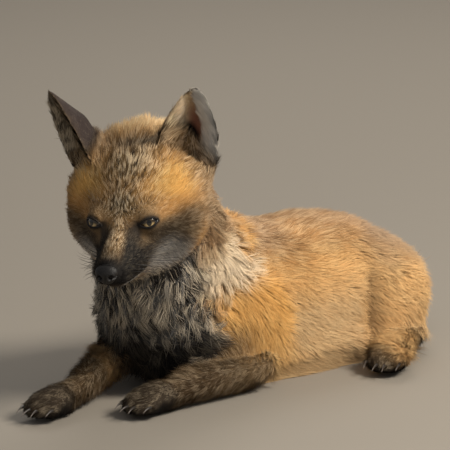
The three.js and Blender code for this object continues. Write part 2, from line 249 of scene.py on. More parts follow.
def finer(piece, chosen):
    """Halves the mesh size of the faces whose middles are chosen."""
    only(piece)
    mesh = piece.data
    pick = chosen(in_head(read(mesh.polygons, "center", 3)))
    bpy.ops.object.mode_set(mode="EDIT")
    bpy.ops.mesh.select_mode(type="FACE")
    bpy.ops.mesh.select_all(action="DESELECT")
    bpy.ops.object.mode_set(mode="OBJECT")
    mesh.polygons.foreach_set("select", pick)
    bpy.ops.object.mode_set(mode="EDIT")
    bpy.ops.mesh.subdivide(number_cuts=1, quadcorner="INNERVERT")
    bpy.ops.object.mode_set(mode="OBJECT")


# The body needs fewer faces than the head and the ears, so it alone is thinned out.
LEVELS = 8                                       # of thinning, from none to full
cast_net = Surface(hide)
q = in_head(cast_net.points)
body = step(-10, 30, q[:, 1]) * step(48, 30, q[:, 2]) + step(-20, -40, q[:, 2])
thinned = hide.vertex_groups.new(name="body")
for level in range(1, LEVELS + 1):
    members = np.flatnonzero(np.clip(np.round(body * LEVELS), 0, LEVELS) == level)
    thinned.add(members.tolist(), level / LEVELS, "REPLACE")
thin = hide.modifiers.new("thin", "DECIMATE")
thin.ratio = HIDE_TRIANGLES / len(cast_net.triangles)
thin.vertex_group = "body"
thin.vertex_group_factor = 8.0
bpy.ops.object.modifier_apply(modifier="thin")
hide.vertex_groups.clear()

# The middles of the eyes, in the head's frame.
EYE_SPOTS = [in_head(np.array([middle(f"eye_{s}")]))[0] for s in ("left", "right")]


def off_eyes(q):
    """How far points of the head's frame lie from the nearer eye, in millimetres."""
    return np.minimum(*[np.linalg.norm(q - centre, axis=1) for centre in EYE_SPOTS])


# The eyes and the lips are worked finer again.
finer(hide, lambda q: (off_eyes(q) < 13) | ((q[:, 1] < -40) & (q[:, 2] > -26) & (q[:, 2] < -4)))

hide_net = Surface(hide)
label = labels(hide_net.points)
q = in_head(hide_net.points)
is_head = named(label, "head")
print("hide", len(hide_net.points), "points", len(hide_net.triangles), "triangles")

# How far the coat stands over the skin in each part, in millimetres.
DEPTH = {
    "head": 5.0, "ear": 1.9, "neck": 8.0, "chest": 8.5, "barrel": 8.5, "rump": 8.5,
    "shoulder": 8.0, "thigh": 8.0, "forearm": 4.0, "forepaw": 2.0, "hock": 3.5, "hindpaw": 2.0,
    "tail": 12.0,
}
depth = np.zeros(len(label))
for part, value in DEPTH.items():
    depth[named(label, part)] = value
muzzle = step(-28, -50, q[:, 1])                 # 0 at the brow, 1 along the muzzle
cheek = step(-30, 0, q[:, 1]) * step(22, 2, q[:, 2])
depth = np.where(is_head, 3.4 + 4.0 * cheek - 2.0 * muzzle + 2.0 * step(0, 25, q[:, 1]), depth)
normals = hide_net.normals()
depth = depth * (1 - 0.7 * step(22, 11, off_eyes(q)) * is_head)
pressed = step(6 * MM, 1 * MM, hide_net.points[:, 2]) * step(-0.3, -0.8, normals[:, 2])
depth = depth * (1 - pressed) + np.minimum(depth, 2.2) * pressed
depth = hide_net.spread(depth, 10)

tree = search_tree(hide_net.points, hide_net.triangles)
soft = unit(hide_net.spread(normals, 4))
thick = np.full(len(depth), 1.0)
for i, (p, n) in enumerate(zip(hide_net.points, soft)):
    hit = tree.ray_cast(Vector(p - n * 0.0004), Vector(-n))
    if hit[3] is not None:
        thick[i] = hit[3]
thick = hide_net.spread(thick, 3)
depth = np.minimum(depth * MM, 0.3 * thick)

DRAWS = 5
for _ in range(DRAWS):                           # drawn in by steps, evened out after each
    soft = unit(hide_net.spread(hide_net.normals(), 3))
    hide_net.points -= soft * (depth / DRAWS)[:, None]
    hide_net.points = hide_net.spread(hide_net.points, 1, hold=0.5)

# A crease runs down the flank in front of each haunch.
P = hide_net.points
thigh_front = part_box("thigh_left")[0].y
in_crease = np.exp(-((P[:, 1] - thigh_front - 0.013) / 0.0045) ** 2) * step(0.074, 0.056, P[:, 2]) \
    * step(0.028, 0.040, abs(P[:, 0] - middle("rump").x)) * named(label, "thigh", "barrel")
in_crease = hide_net.spread(in_crease, 2)
CREASE = 5.0                                     # its depth, in millimetres
hide_net.points = P - soft * (in_crease * CREASE * MM)[:, None]

# The wrists and the heels run into the feet without a step.
for limb, foot in (("forearm", "forepaw"), ("hock", "hindpaw")):
    share = hide_net.spread(named(label, foot) * 1.0, 10) * named(label, limb, foot)
    even = np.clip(6 * share * (1 - share), 0, 1)[:, None]
    for _ in range(12):
        P = hide_net.points
        hide_net.points = P + (hide_net.spread(P, 1) - P) * even
q = in_head(hide_net.points)

# ---------------------------------------------------------------- lids, lips and ears in the hide
# The lids are folds of the same skin, drawn over the eyeball round an almond opening. The lips
# and the cup of each ear are worked in it too.

EYE_BALL = 8.0                                   # radius of the eyeball, as in the solids
LID = 0.9                                        # thickness of a lid over the ball
OPEN_HALF, OPEN_UP, OPEN_DOWN = 47.0, 17.0, 17.0  # the opening, in degrees on the ball
SLANT = 0.09                                     # the outer corner is the higher


def gaze(side):
    """The axes of an eye in the head's frame: outward, up, and out of the eye."""
    turn, nod = math.radians(27 * side), math.radians(16)
    out = np.array([math.sin(turn) * math.cos(nod), -math.cos(turn) * math.cos(nod), math.sin(nod)])
    across = unit(np.cross(out, [0, 0, 1.0])) * -side
    return across, np.cross(out, across) * side, out


def lid_edges(a):
    """The heights of the upper and the lower lid edge at an angle a across the eye."""
    t = np.clip(np.abs(a) / OPEN_HALF, 0, 1)
    upper = OPEN_UP * (1 - t ** 2.6) + SLANT * a
    lower = -OPEN_DOWN * (1 - t ** 1.8) + SLANT * a
    return upper, lower


def on_ball(axes, a, b):
    """The directions at angles a across and b up an eye, in degrees."""
    across, above, out = axes
    a, b = np.radians(a), np.radians(b)
    return (np.sin(a) * np.cos(b))[:, None] * across + np.sin(b)[:, None] * above \
        + (np.cos(a) * np.cos(b))[:, None] * out


lid_skin, upper_lid = np.zeros(len(q)), np.zeros(len(q))
lid_gap = np.full(len(q), 90.0)                  # degrees beyond the edge of a lid
round_eyes = np.full(len(q), 99.0)               # how far from an eye's middle, in millimetres
for side, centre in zip((1, -1), EYE_SPOTS):
    across, above, out = gaze(side)
    round_eyes = np.minimum(round_eyes, np.linalg.norm(q - (centre + 7 * out), axis=1))
    near = np.linalg.norm(q - centre, axis=1) < 20
    rel = (q - centre)[near]
    radius = np.linalg.norm(rel, axis=1)
    x, z, w = rel @ across, rel @ above, rel @ out
    a = np.degrees(np.arctan2(x, w))
    b = np.degrees(np.arcsin(np.clip(z / radius, -1, 1)))
    upper, lower = lid_edges(a)
    gap = np.maximum(b - upper, lower - b)
    gap = np.where(np.abs(a) > OPEN_HALF, np.maximum(gap, np.abs(a) - OPEN_HALF), gap)
    gap = np.where(w > 0, gap, 90)
    snap = (np.abs(gap) < 2.2) & (np.abs(a) < OPEN_HALF - 2)
    b = np.where(snap & (b > (upper + lower) / 2), upper, np.where(snap, lower, b))
    gap = np.where(snap, 0.0, gap)
    over = EYE_BALL + LID
    target = np.where(gap < -0.01, EYE_BALL - 2.0, over)
    fade = step(9, 38, gap) * (w > 0) + (w <= 0)
    r = np.where(gap < -0.01, target, target * (1 - fade) + np.maximum(radius, over) * fade)
    moved = centre + on_ball((across, above, out), a, b) * r[:, None]
    q[near] = np.where((w > 0)[:, None], moved, q[near])
    lid_skin[near] = np.maximum(lid_skin[near], np.where(w > 0, step(5.5, 2.5, gap), 0))
    lid_gap[near] = np.minimum(lid_gap[near], np.where(w > 0, gap, 60))
    upper_lid[near] = np.maximum(upper_lid[near], (w > 0) & (b > (upper + lower) / 2))

# Round the lids the skin is drawn taut to the face, never into the ball, and the upper lid folds.
taut = is_head * step(3, 10, lid_gap) * step(27, 18, off_eyes(q))
clear = EYE_BALL + 0.75
for _ in range(20):
    for _ in range(10):
        q += (hide_net.spread(q, 1) - q) * taut[:, None]
    for centre in EYE_SPOTS:
        rel = q - centre
        radius = np.linalg.norm(rel, axis=1)
        sunk = (radius < clear) & (taut > 0)
        q[sunk] = centre + rel[sunk] * (clear / radius[sunk])[:, None]
hide_net.points = from_head(q)
fold = 0.3 * np.exp(-((lid_gap - 5) / 3.0) ** 2) - 0.7 * upper_lid * np.exp(-((lid_gap - 13) / 3.5) ** 2)
hide_net.points += hide_net.normals() * (fold * MM)[:, None]

# The mouth: a fine groove from under the nose back to the corner, between two soft lips.
MOUTH_LEVEL, MOUTH_CORNER = -16.8, -47.0         # height of the line, and how far back it runs
GROOVE = 1.7                                     # depth of the line
q = in_head(hide_net.points)
soft = hide_net.spread(hide_net.normals(), 1)
along_mouth = is_head * step(MOUTH_CORNER + 2, MOUTH_CORNER - 4, q[:, 1])
level = q[:, 2] - (MOUTH_LEVEL - 4.0 * step(-80, -62, q[:, 1]) + 2.0 * step(-58, MOUTH_CORNER, q[:, 1]))
groove = along_mouth * np.exp(-(level / 0.85) ** 2)
lips = along_mouth * (1.0 * np.exp(-((level - 2.6) / 2.0) ** 2) + 0.5 * np.exp(-((level + 2) / 1.3) ** 2))
hide_net.points += unit(soft) * ((lips - GROOVE * groove) * MM)[:, None]
at_lips = along_mouth * np.exp(-(level / 1.5) ** 4)

# The ears: how far across (-1 to 1) and up (0 to 1) each point lies, which face it is on, the
# bare skin in the middle of the cup, and the canal, which is pressed in at its foot.
CANAL = 2.4                                      # its depth, in millimetres
on_ears = named(label, "ear")[:, None]
for _ in range(6):
    P = hide_net.points
    hide_net.points = P + (hide_net.spread(P, 1, hold=0.4) - P) * on_ears
normals = hide_net.normals()
head_tree = search_tree(*welded("head"))
ears = {}
for s, side in (("left", 1), ("right", -1)):
    p, f = welded(f"ear_{s}")
    ear_tree = search_tree(p, f)
    centre = p.mean(0)
    _, _, (tall, wide, through) = np.linalg.svd(p - centre, full_matrices=False)
    tall = tall * np.sign(tall @ HEAD_AXES[2])
    wide = wide * np.sign(wide @ HEAD_AXES[0]) * side          # towards the outer edge
    through = through * -np.sign(through @ HEAD_AXES[1])          # out of the cup
    heights = (p - centre) @ tall
    v = np.clip(((hide_net.points - centre) @ tall - heights.min()) / np.ptp(heights), 0, 1)
    half = 0.5 * np.ptp((p - centre) @ wide)
    u = (hide_net.points - centre) @ wide / (half * np.sqrt(np.maximum(1.02 - v ** 2.6, 0.05)))
    facing = normals @ through
    inner = step(-0.05, 0.30, facing)
    on_ear = named(label, f"ear_{s}")
    above_head, from_ear = np.zeros(len(v)), np.full(len(v), 99.0)
    for i in np.flatnonzero(on_ear):
        above_head[i] = head_tree.find_nearest(Vector(hide_net.points[i]))[3] / MM
    for i in np.flatnonzero(is_head & (q[:, 2] > 0)):
        from_ear[i] = ear_tree.find_nearest(Vector(hide_net.points[i]))[3] / MM
    ears[s] = {
        "on": on_ear, "u": u, "v": v, "inner": inner, "tall": tall, "wide": wide,
        "foot": on_ear * step(12, 4, above_head), "skirt": step(13, 4, from_ear),
        "rim": np.clip(1.5 * hide_net.spread(np.exp(-((facing - 0.02) / 0.28) ** 2), 2), 0, 1)
        * step(8, 16, above_head),
        "bare": on_ear * inner * np.exp(-(((u - 0.15) / 0.34) ** 2 + ((v - 0.50) / 0.26) ** 2) ** 2),
        "canal": on_ear * inner * np.exp(-(((u + 0.05) / 0.30) ** 2 + ((above_head - 9) / 5.5) ** 2) ** 2),
    }
    hide_net.points -= through * (ears[s]["canal"] * CANAL * MM)[:, None]
q = in_head(hide_net.points)
set_points(hide, hide_net.points)
normals = hide_net.normals()

# ---------------------------------------------------------------- the lie of the coat
# Hair grows back from the nose over the head and along the body, and down the legs to the
# toes. Its direction, length and stiffness change little by little over the skin.


def long_axis(node, towards):
    """The long direction of a part, turned towards a point."""
    p, _ = welded(node)
    _, _, axes = np.linalg.svd(p - p.mean(0), full_matrices=False)
    return axes[0] * np.sign(axes[0] @ (np.array(towards) - p.mean(0)))


def claws(paw):
    return sum((middle(f"{paw}_claw_{n}") for n in (1, 2, 3, 4)), Vector()) / 4


def along_skin(ways, normals):
    """Directions laid flat along the skin."""
    return unit(ways - (ways * normals).sum(1)[:, None] * normals)


lie = np.zeros((len(label), 3))
lie[:] = (0, 1, -0.25)
side_of_head = np.sign(q[:, 0]) * step(4, 30, abs(q[:, 0]))
head_lie = np.stack([0.30 * side_of_head * (1 - muzzle), np.ones(len(q)),
                     -0.45 * step(10, -20, q[:, 2]) * (1 - muzzle)], 1)
lie = np.where(is_head[:, None], head_lie @ HEAD_AXES, lie)
P = hide_net.points
LIES = {
    "neck": (0.1, 0.45, -1.0), "chest": (0.05, 0.35, -1.0), "shoulder": (0, 0.55, -0.9),
    "barrel": (0, 1.0, -0.35), "rump": (0, 1.0, -0.55), "thigh": (0, 0.75, -0.9),
}
for part, way in LIES.items():
    lie = np.where(named(label, part)[:, None], way, lie)
for s, ear in ears.items():
    inward = -0.75 * ear["inner"] * (1 - ear["rim"]) * np.sign(ear["u"]) * step(0.15, 0.5, abs(ear["u"]))
    lie = np.where(ear["on"][:, None], ear["tall"] * 0.8 + inward[:, None] * ear["wide"], lie)
    lie = lie + (2.0 * ear["skirt"])[:, None] * ear["tall"]
    for part, way in {
        "forearm": long_axis(f"forearm_{s}", middle(f"forepaw_{s}")),
        "forepaw": claws(f"forepaw_{s}") - middle(f"forepaw_{s}"),
        "hock": middle(f"hindpaw_{s}") - middle(f"hock_{s}"),
        "hindpaw": claws(f"hindpaw_{s}") - middle(f"hindpaw_{s}"),
    }.items():
        lie = np.where(named(label, f"{part}_{s}")[:, None], np.array(way), lie)
tail_low, tail_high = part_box("tail_middle")
tail_hub = np.array([tail_high.x - 0.010, (tail_low.y + tail_high.y) / 2 - 0.040, 0])
spoke = P - tail_hub
round_hub = np.stack([-spoke[:, 1], spoke[:, 0], np.zeros(len(P))], 1)
lie = np.where(named(label, "tail")[:, None], unit(round_hub), lie)
off_eye = np.zeros((len(q), 3))                  # away from the middle of each eye
for centre in EYE_SPOTS:
    rel = q - centre
    off_eye += unit(rel) * step(16, 9.5, np.linalg.norm(rel, axis=1))[:, None]
lie = unit(lie) + 2.2 * (off_eye @ HEAD_AXES)
lie = unit(lie)
for _ in range(4):
    lie = along_skin(hide_net.spread(lie, 6), normals)

# Length, rise in degrees, width, tufts in a square millimetre, and curl, of each part's hair.
HAIR = {
    "head": (9.0, 26, 0.46, 1.9, 0.35), "ear": (2.2, 13, 0.28, 2.9, 0.1),
    "neck": (16.0, 28, 0.50, 1.3, 0.9), "chest": (17.0, 30, 0.50, 1.25, 1.4),
    "barrel": (14.0, 22, 0.42, 1.5, 0.45), "rump": (15.0, 24, 0.44, 1.4, 0.5),
    "shoulder": (14.0, 24, 0.42, 1.5, 0.5), "thigh": (14.0, 24, 0.42, 1.5, 0.55),
    "forearm": (9.0, 24, 0.42, 1.7, 0.5), "forepaw": (4.2, 20, 0.34, 2.4, 0.3),
    "hock": (7.0, 22, 0.42, 1.7, 0.4), "hindpaw": (4.0, 20, 0.34, 2.4, 0.3),
    "tail": (20.0, 19, 0.60, 1.1, 0.6),
}
LENGTH, RISE, WIDTH, TUFTS = range(4)            # the columns of the hair, with curl as the last
hair = np.zeros((len(label), 5))
for part, value in HAIR.items():
    hair[named(label, part)] = value
face = (1 - step(-26, 4, q[:, 1]))[:, None]      # 1 in front of the ears
FOREHEAD = np.array((5.2, 28, 0.42, 2.7, 0.3))
MUZZLE = np.array((3.4, 15, 0.30, 4.4, 0.1))
HEEL = np.array((12.0, 26, 0.42, 1.6, 0.5))
m = muzzle[:, None]
of_head = np.array(HAIR["head"]) * (1 - face) + face * (FOREHEAD * (1 - m) + MUZZLE * m)
hair = np.where(is_head[:, None], of_head, hair)
at_eye = step(17, 8, round_eyes)


def settle(measure, amount, value):
    """Draws one measure of the hair to a value, by an amount from 0 to 1."""
    hair[:, measure] = hair[:, measure] * (1 - amount) + value * amount


settle(LENGTH, at_eye, 1.7)
settle(WIDTH, at_eye, 0.20)
settle(TUFTS, at_eye, 6.0)
hair = hide_net.spread(hair, 5)
of_legs = named(label, "forearm", "forepaw", "hock", "hindpaw")[:, None]
hair = np.where(of_legs, hide_net.spread(hair, 12), hair)
hair[:, LENGTH] *= 1 - 0.6 * at_lips
crown = is_head * spot(q, (0, 28, 36), (30, 13, 20))
hair[:, LENGTH] += 3.5 * crown
hair[:, RISE] += 14 * crown
hanging = named(label, "thigh", "barrel") * step(0.035, 0.018, P[:, 2]) * step(0.05, 0.065, P[:, 1])
hair[:, LENGTH] += 5.0 * hanging                 # over the hind feet
over_hock = named(label, "hock", "hindpaw") * step(0.008, 0.012, P[:, 2]) * step(0.124, 0.110, P[:, 1]) \
    * step(0.060, 0.072, P[:, 1])
over_hock = hide_net.spread(over_hock, 3)
shaggy = over_hock[:, None]
hair = hair * (1 - shaggy) + HEEL * shaggy
lie = unit(lie * (1 - 0.85 * shaggy) + unit(np.array((0.05, -0.9, -0.35))) * 0.85 * shaggy)
lie = along_skin(lie, normals)
hair[:, LENGTH] += 3.5 * named(label, "barrel", "thigh") * step(0.026, 0.010, P[:, 2])
upper_arm = hide_net.spread(named(label, "forearm") * step(0.018, 0.030, P[:, 2]), 8)
hair[:, LENGTH] += 4.0 * upper_arm
hair[:, RISE] += 10.0 * upper_arm
hair[:, LENGTH] *= 1 - 0.45 * in_crease
dock = named(label, "tail") * step(0.01, 0.30, hide_net.spread(named(label, "rump") * 1.0, 60))
hair[:, LENGTH] *= 1 - 0.30 * dock               # shorter and flatter at the root of the tail
hair[:, RISE] *= 1 - 0.45 * dock
hair[:, TUFTS] *= step(3.5, 7, lid_gap) * (1 - 0.9 * step(0.5, 0.9, at_lips))
for ear in ears.values():                        # long in the cup, none in its middle
    cup = ear["on"] * ear["inner"]
    fringe = cup * step(0.20, 0.6, abs(ear["u"])) * step(0.97, 0.75, ear["v"])
    hair[:, LENGTH] += 8.0 * fringe + 6.0 * ear["foot"] * (1 - fringe) + 3.5 * ear["skirt"]
    hair[:, RISE] += 9.0 * fringe + 12.0 * ear["foot"] + 6.0 * ear["skirt"]
    hair[:, WIDTH] += 0.12 * fringe
    rim = ear["on"] * ear["rim"]
    settle(LENGTH, rim, 3.0)
    settle(RISE, rim, 5.0)
    hair[:, TUFTS] *= (1 - 0.95 * ear["bare"]) * (1 - 0.9 * ear["canal"])
hair[:, TUFTS] *= 1 - step(4 * MM, 2 * MM, P[:, 2]) * step(-0.6, -0.9, normals[:, 2]) * named(
    label, "forepaw", "hindpaw")                 # the pads are bare

# ---------------------------------------------------------------- the markings
# The colours of the hair, laid on one over another with soft edges, and how grizzled it is: what
# share of the hairs are black, or tipped with cream. The skin and the coat share them.

HUES = {
    "rufous": (0.74, 0.38, 0.12), "orange": (0.86, 0.46, 0.13), "sienna": (0.60, 0.29, 0.09),
    "sandy": (0.38, 0.235, 0.130), "beige": (0.55, 0.385, 0.235), "gold": (0.79, 0.47, 0.20),
    "straw": (0.71, 0.475, 0.25), "fawn": (0.36, 0.25, 0.165), "ivory": (0.90, 0.70, 0.47),
    "cream": (0.74, 0.56, 0.37), "white": (0.82, 0.76, 0.67), "ash": (0.31, 0.285, 0.245),
    "slate": (0.150, 0.148, 0.145), "tan": (0.36, 0.24, 0.125), "olive": (0.130, 0.086, 0.040),
    "dun": (0.24, 0.165, 0.100), "bark": (0.26, 0.16, 0.074), "silver": (0.50, 0.48, 0.46),
    "brown": (0.105, 0.066, 0.034), "umber": (0.062, 0.044, 0.028), "soot": (0.016, 0.014, 0.013),
    "russet": (0.34, 0.19, 0.075), "black": (0.010, 0.009, 0.009), "plum": (0.042, 0.030, 0.027),
    "flesh": (0.20, 0.085, 0.055),
}
tint = np.tile(HUES["rufous"], (len(q), 1))
grizzle = np.zeros(len(q))


def paint(amount, hue, ticked=None):
    """Lays a hue on by the given amount, 0 to 1 at each point; ticked sets the grizzle too."""
    amount = np.clip(amount, 0, 1)
    tint[:] = tint * (1 - amount[:, None]) + np.array(HUES[hue]) * amount[:, None]
    if ticked is not None:
        grizzle[:] = grizzle * (1 - amount) + ticked * amount


def smudge(amount, rounds):
    """Blends the hues with those around them, by an amount from 0 to 1 at each point."""
    amount = amount[:, None]
    tint[:] = tint * (1 - amount) + hide_net.spread(tint, rounds) * amount


def mottled(rounds, *columns):
    """Random values that change softly over the skin, with a spread of 1."""
    values = hide_net.spread(rng.normal(size=(len(P), *columns)), rounds)
    return values / values.std(0)


def on_head(centre, radii, power=1.6):
    """A patch on the head with a full middle, and its like on the other side."""
    centre, radii = np.array(centre), np.array(radii)
    far = [((((q - centre * (s, 1, 1)) / radii) ** 2).sum(1)) for s in (1, -1)]
    return of_skull * np.exp(-np.minimum(*far) ** power)


# The trunk: gold on the flanks, straw towards the belly, sandy along the back, fawn on the rump.
height = P[:, 2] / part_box("barrel")[1].z
trunk = named(label, "barrel", "rump", "shoulder", "thigh", "chest")
haunch = named(label, "thigh").astype(float)
paint(1.0 * trunk, "rufous", 0.12)
paint(trunk * step(0.80, 0.52, height), "gold", 0.10)
paint(trunk * step(0.55, 0.40, height) * 0.9, "straw", 0.10)
paint(trunk * step(0.58, 0.88, height) * 0.95, "sandy", 0.40)
paint(haunch * 0.8, "gold", 0.10)
croup = hide_net.spread(named(label, "rump") * 1.0, 70)
paint(croup * (0.55 + 0.45 * step(0.3, 0.8, height)), "fawn", 0.12)
paint(haunch * step(0.118, 0.150, P[:, 1]) * 0.5, "fawn", 0.2)
paint(named(label, "shoulder") * step(0.9, 0.6, height) * 0.8, "orange", 0.08)
flecks, broad = mottled(8), mottled(60)
paint(trunk * 0.30 * step(0.2, 1.6, broad), "cream")
paint(trunk * 0.35 * step(0.2, 1.6, -broad), "sienna")
# Painted shade: the crease in front of each haunch is darkened with bark.
paint(in_crease * 1.3, "bark", 0.0)
elbow_high = 0.048 + 0.004 * flecks
paint(named(label, "shoulder", "chest") * step(0.010, -0.004, P[:, 2] - elbow_high)
      * step(-0.020, -0.045, P[:, 1]) * 0.85, "brown", 0.35)

# The bib: black and silver hair on the front of the neck and chest, edged with cream.
hub = np.array(middle("chest"))
hub[1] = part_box("shoulder_left")[0].y + 0.012
bearing = np.degrees(np.arctan2(P[:, 0] - hub[0], hub[1] - P[:, 1]))     # 0 in front, to its left
bearing = bearing + 5 * flecks
paint(named(label, "neck") * 1.0, "rufous", 0.15)
# Sandy along the top of the neck and back: partly their own colour, partly painted shade at the nape.
paint(named(label, "neck", "barrel") * step(0.100, 0.114, P[:, 2]) * 0.85, "sandy", 0.35)
paint(named(label, "neck", "chest", "shoulder") * step(132, 112, abs(bearing)) * step(0.072, 0.084, P[:, 2])
      * step(0.114, 0.101, P[:, 2]), "ivory", 0.15)
edge = 57 + 20 * step(0.090, 0.070, P[:, 2])
bib = named(label, "chest", "neck", "shoulder") * step(9, -9, bearing - edge) * step(-88, -66, bearing)
paint(bib, "slate", 1.0)
# Towards its foot the bib darkens: partly its own black hair, partly painted shade low on the chest.
paint(bib * step(0.066, 0.048, P[:, 2]) * 0.8, "slate", 0.75)
paint(bib * step(0.062, 0.042, P[:, 2]), "soot", 0.08)

# The head: patches laid one over another, each with its like on the other side. Their hues are partly the
# real markings and partly painted shade: they are darkened part way where the face lies in shade.
of_skull = (is_head | named(label, "neck")).astype(float)
x, y, z = abs(q[:, 0]), q[:, 1], q[:, 2]
# Painted shadow of the head, falling on the neck behind the jaw.
paint(on_head((36, 34, -18), (20, 26, 21)) * 0.75, "brown", 0.35)               # behind the jaw
of_skull = is_head.astype(float)
paint(of_skull, "rufous", 0.10)
paint(on_head((34, 20, 0), (26, 26, 34)), "beige", 0.30)                        # the sides of the head
paint(on_head((42, 24, -10), (15, 22, 18)) * 0.9, "bark", 0.25)                 # below the ears
paint(of_skull * step(13, 5, z) * step(-14, -24, y), "bark", 0.30)              # the face
paint(on_head((27, -15, 22), (16, 19, 13)), "orange", 0.05)                     # from eye to ear
paint(on_head((44, 0, 17), (11, 15, 14)) * 0.8, "dun", 0.30)                    # the temples
paint(on_head((0, -12, 33), (21, 30, 20), 1.4) * 0.95, "olive", 0.92)           # the ticked forehead
paint(on_head((24, -32, 17), (14, 10, 8)) * 0.85, "russet", 0.35)               # the brows
# Painted shade: the inner ends of the brows are darkened, as if the eyes lay in shade under them.
paint(on_head((17, -38, 14), (12, 9, 7)) * 0.9, "bark", 0.40)                   # their inner ends
paint(on_head((0, -37, 18), (13, 13, 10)), "olive", 1.0)                        # between the brows
# Painted shade above the tear corners.
paint(on_head((14, -40, 12), (9, 8, 6)) * 0.6, "brown", 0.6)                    # above the tear corners
# Partly the dark hair of the crown, partly the painted shadow of the ears on it.
paint(on_head((0, 9, 38), (30, 13, 16), 1.1) * 0.9, "brown", 0.45)              # between the ears
paint(on_head((37, 8, 25), (12, 14, 11)), "bark", 0.6)                          # the feet of the ears
paint(on_head((-2, 31, 36), (27, 10, 18)), "straw", 0.25)                       # the back of the crown
paint(on_head((33, -25, 13), (12, 10, 6)) * 0.7, "sienna", 0.15)                # the outer ends of the brows
paint(on_head((38, -22, 3), (13, 15, 10)) * 0.95, "brown", 0.20)                # behind the eyes
paint(on_head((44, -4, -4), (13, 17, 15)) * 0.85, "dun", 0.30)                  # the cheekbones
paint(on_head((26, -37, 0), (15, 14, 9)), "umber", 0.15)                        # under the eyes
paint(on_head((27, -33, -11), (13, 13, 7)) * 0.9, "slate", 0.35)                # the tops of the cheeks
paint(on_head((24, -35, -20), (19, 20, 11), 2.0), "silver", 0.35)               # the cheeks
paint(on_head((10, -26, -33), (20, 24, 6)) * 0.9, "ash", 0.80)                  # the throat
muzzle_only = of_skull * step(-45, -55, y)
paint(on_head((0, -58, 6), (9, 24, 12), 2.5), "bark", 1.0)                      # the ridge of the muzzle
paint(of_skull * step(-62, -76, y), "umber", 0.30)                              # its end
paint(muzzle_only * step(4.2, 7.0, x + 0.08 * (y + 60)) * step(-24, -20, z), "soot", 0.10)
paint(on_head((18, -49, -9), (10, 11, 8)) * 0.95, "soot", 0.10)                 # its roots
paint(on_head((11, -49, 3), (4.2, 7, 5)) * 0.9, "soot", 0.15)                   # beside the ridge
paint(muzzle_only * step(-73, -77.5, y), "soot", 0.0)                           # round the nose pad
paint(muzzle_only * step(-14, -20, z) * step(6, 3, x), "umber", 0.30)           # under the nose pad
paint(muzzle_only * step(-20.5, -23, z), "silver", 0.35)                        # the chin
paint(on_head((11, -45.5, 6.5), (4, 5, 6.5)) * 0.9, "soot", 0.1)                # the tear streaks
paint(of_skull * step(28, 10, lid_gap) * 0.9, "umber", 0.10)                    # round the lids
paint(of_skull * step(18, 9, lid_gap), "soot", 0.0)                             # along the lids

# The lips: dark bare edges along the line of the mouth.
paint(at_lips, "black", 0.0)

# Behind the ears the red of the head runs softly into the nape.
paint(on_head((0, 50, -4), (34, 16, 34)) * 0.7, "sandy", 0.3)
nape = hide_net.spread(is_head * 1.0, 30)
smudge(4 * nape * (1 - nape) * step(18, 32, q[:, 1]), 45)

# The legs: brown stockings, tan at the elbow and on the toes, with black soles.
forearms = named(label, "forearm") * 1.0
paint(forearms, "brown", 0.30)
paint(forearms * step(0.3, 0.95, normals[:, 2]) * 0.25, "tan", 0.5)
elbow = np.zeros(len(P))
for s in ("left", "right"):
    fore = np.array(middle(f"forepaw_{s}"))
    mid = np.array(middle(f"forearm_{s}"))
    far = np.linalg.norm(P - fore, axis=1) / np.linalg.norm(mid - fore)
    paint(named(label, f"forearm_{s}") * step(1.05, 1.60, far), "tan", 0.35)
    point = mid + 0.85 * (mid - fore)
    elbow = np.maximum(elbow, step(0.026, 0.012, np.linalg.norm(P - point, axis=1)))
paint(named(label, "forearm_right") * step(-0.118, -0.104, P[:, 1]) * 0.9, "gold", 0.15)
paint(named(label, "forepaw", "hindpaw") * 1.0, "umber", 0.35)
paint(named(label, "forepaw", "hindpaw") * step(0.2, -0.2, normals[:, 2]), "soot", 0.0)
paint(named(label, "hock") * 1.0, "umber", 0.30)
paint(named(label, "hindpaw") * step(0.012, 0.018, P[:, 2]) * 0.8, "tan", 0.5)
paint(over_hock, "gold", 0.10)
smudge(named(label, "forearm", "forepaw", "hock", "hindpaw") * 1.0, 12)
smudge(elbow, 50)

# The tail: tan under black guard hair, with a white tip.
paint(named(label, "tail") * 1.0, "tan", 0.75)
paint(named(label, "tail") * step(0.032, 0.010, P[:, 2]) * 0.8, "beige", 0.30)
paint(dock * 0.9, "beige", 0.20)
paint(named(label, "tail_tip") * 1.0, "white", 0.05)

# The ears: black backs, cups of long ivory hair, a bare middle, and a canal painted black as its shade; the
# right cup is darkened with painted shade.
for s, ear in ears.items():
    cup = ear["on"] * ear["inner"]
    paint(ear["skirt"] * is_head * 0.6, "bark", 0.6)
    paint(ear["on"] * 1.0, "plum", 0.15)
    paint(cup, "tan", 0.8)
    paint(cup * 1.2 * np.exp(-((ear["u"] + 0.45) / 0.34) ** 2) * step(0.97, 0.80, ear["v"]), "ivory", 0.35)
    paint(cup * step(0.30, 0.50, ear["u"]) * 0.95, "white", 0.05)
    # Painted shade: only the right ear's cup is darkened with olive, as if it lay in shade.
    paint(cup * (0.0 if s == "left" else 0.85), "olive", 0.7)
    paint(ear["bare"], "flesh", 0.0)
    paint(ear["on"] * ear["rim"] * 0.6, "brown", 0.35)
    paint(ear["foot"] * ear["inner"], "bark", 0.7)
    smudge(np.maximum(ear["foot"] * (1 - 0.6 * ear["inner"]), ear["skirt"] * is_head), 25)
    # Painted shade: the canal is black, as the shade down its hole.
    paint(ear["canal"], "black", 0.0)

marks = hide_net.spread(np.concatenate([tint, grizzle[:, None]], 1), 3)
blackened = step(0.2, 0.8, lid_skin)[:, None]
marks = marks * (1 - blackened) + np.array((*HUES["black"], 0.0)) * blackened


def point_colours(piece, name, values):
    """Stores four numbers a point on a mesh, for the materials to read."""
    layer = piece.data.attributes.new(name, "FLOAT_COLOR", "POINT")
    layer.data.foreach_set("color", np.asarray(values, np.float32).ravel())


point_colours(hide, "marks", marks)


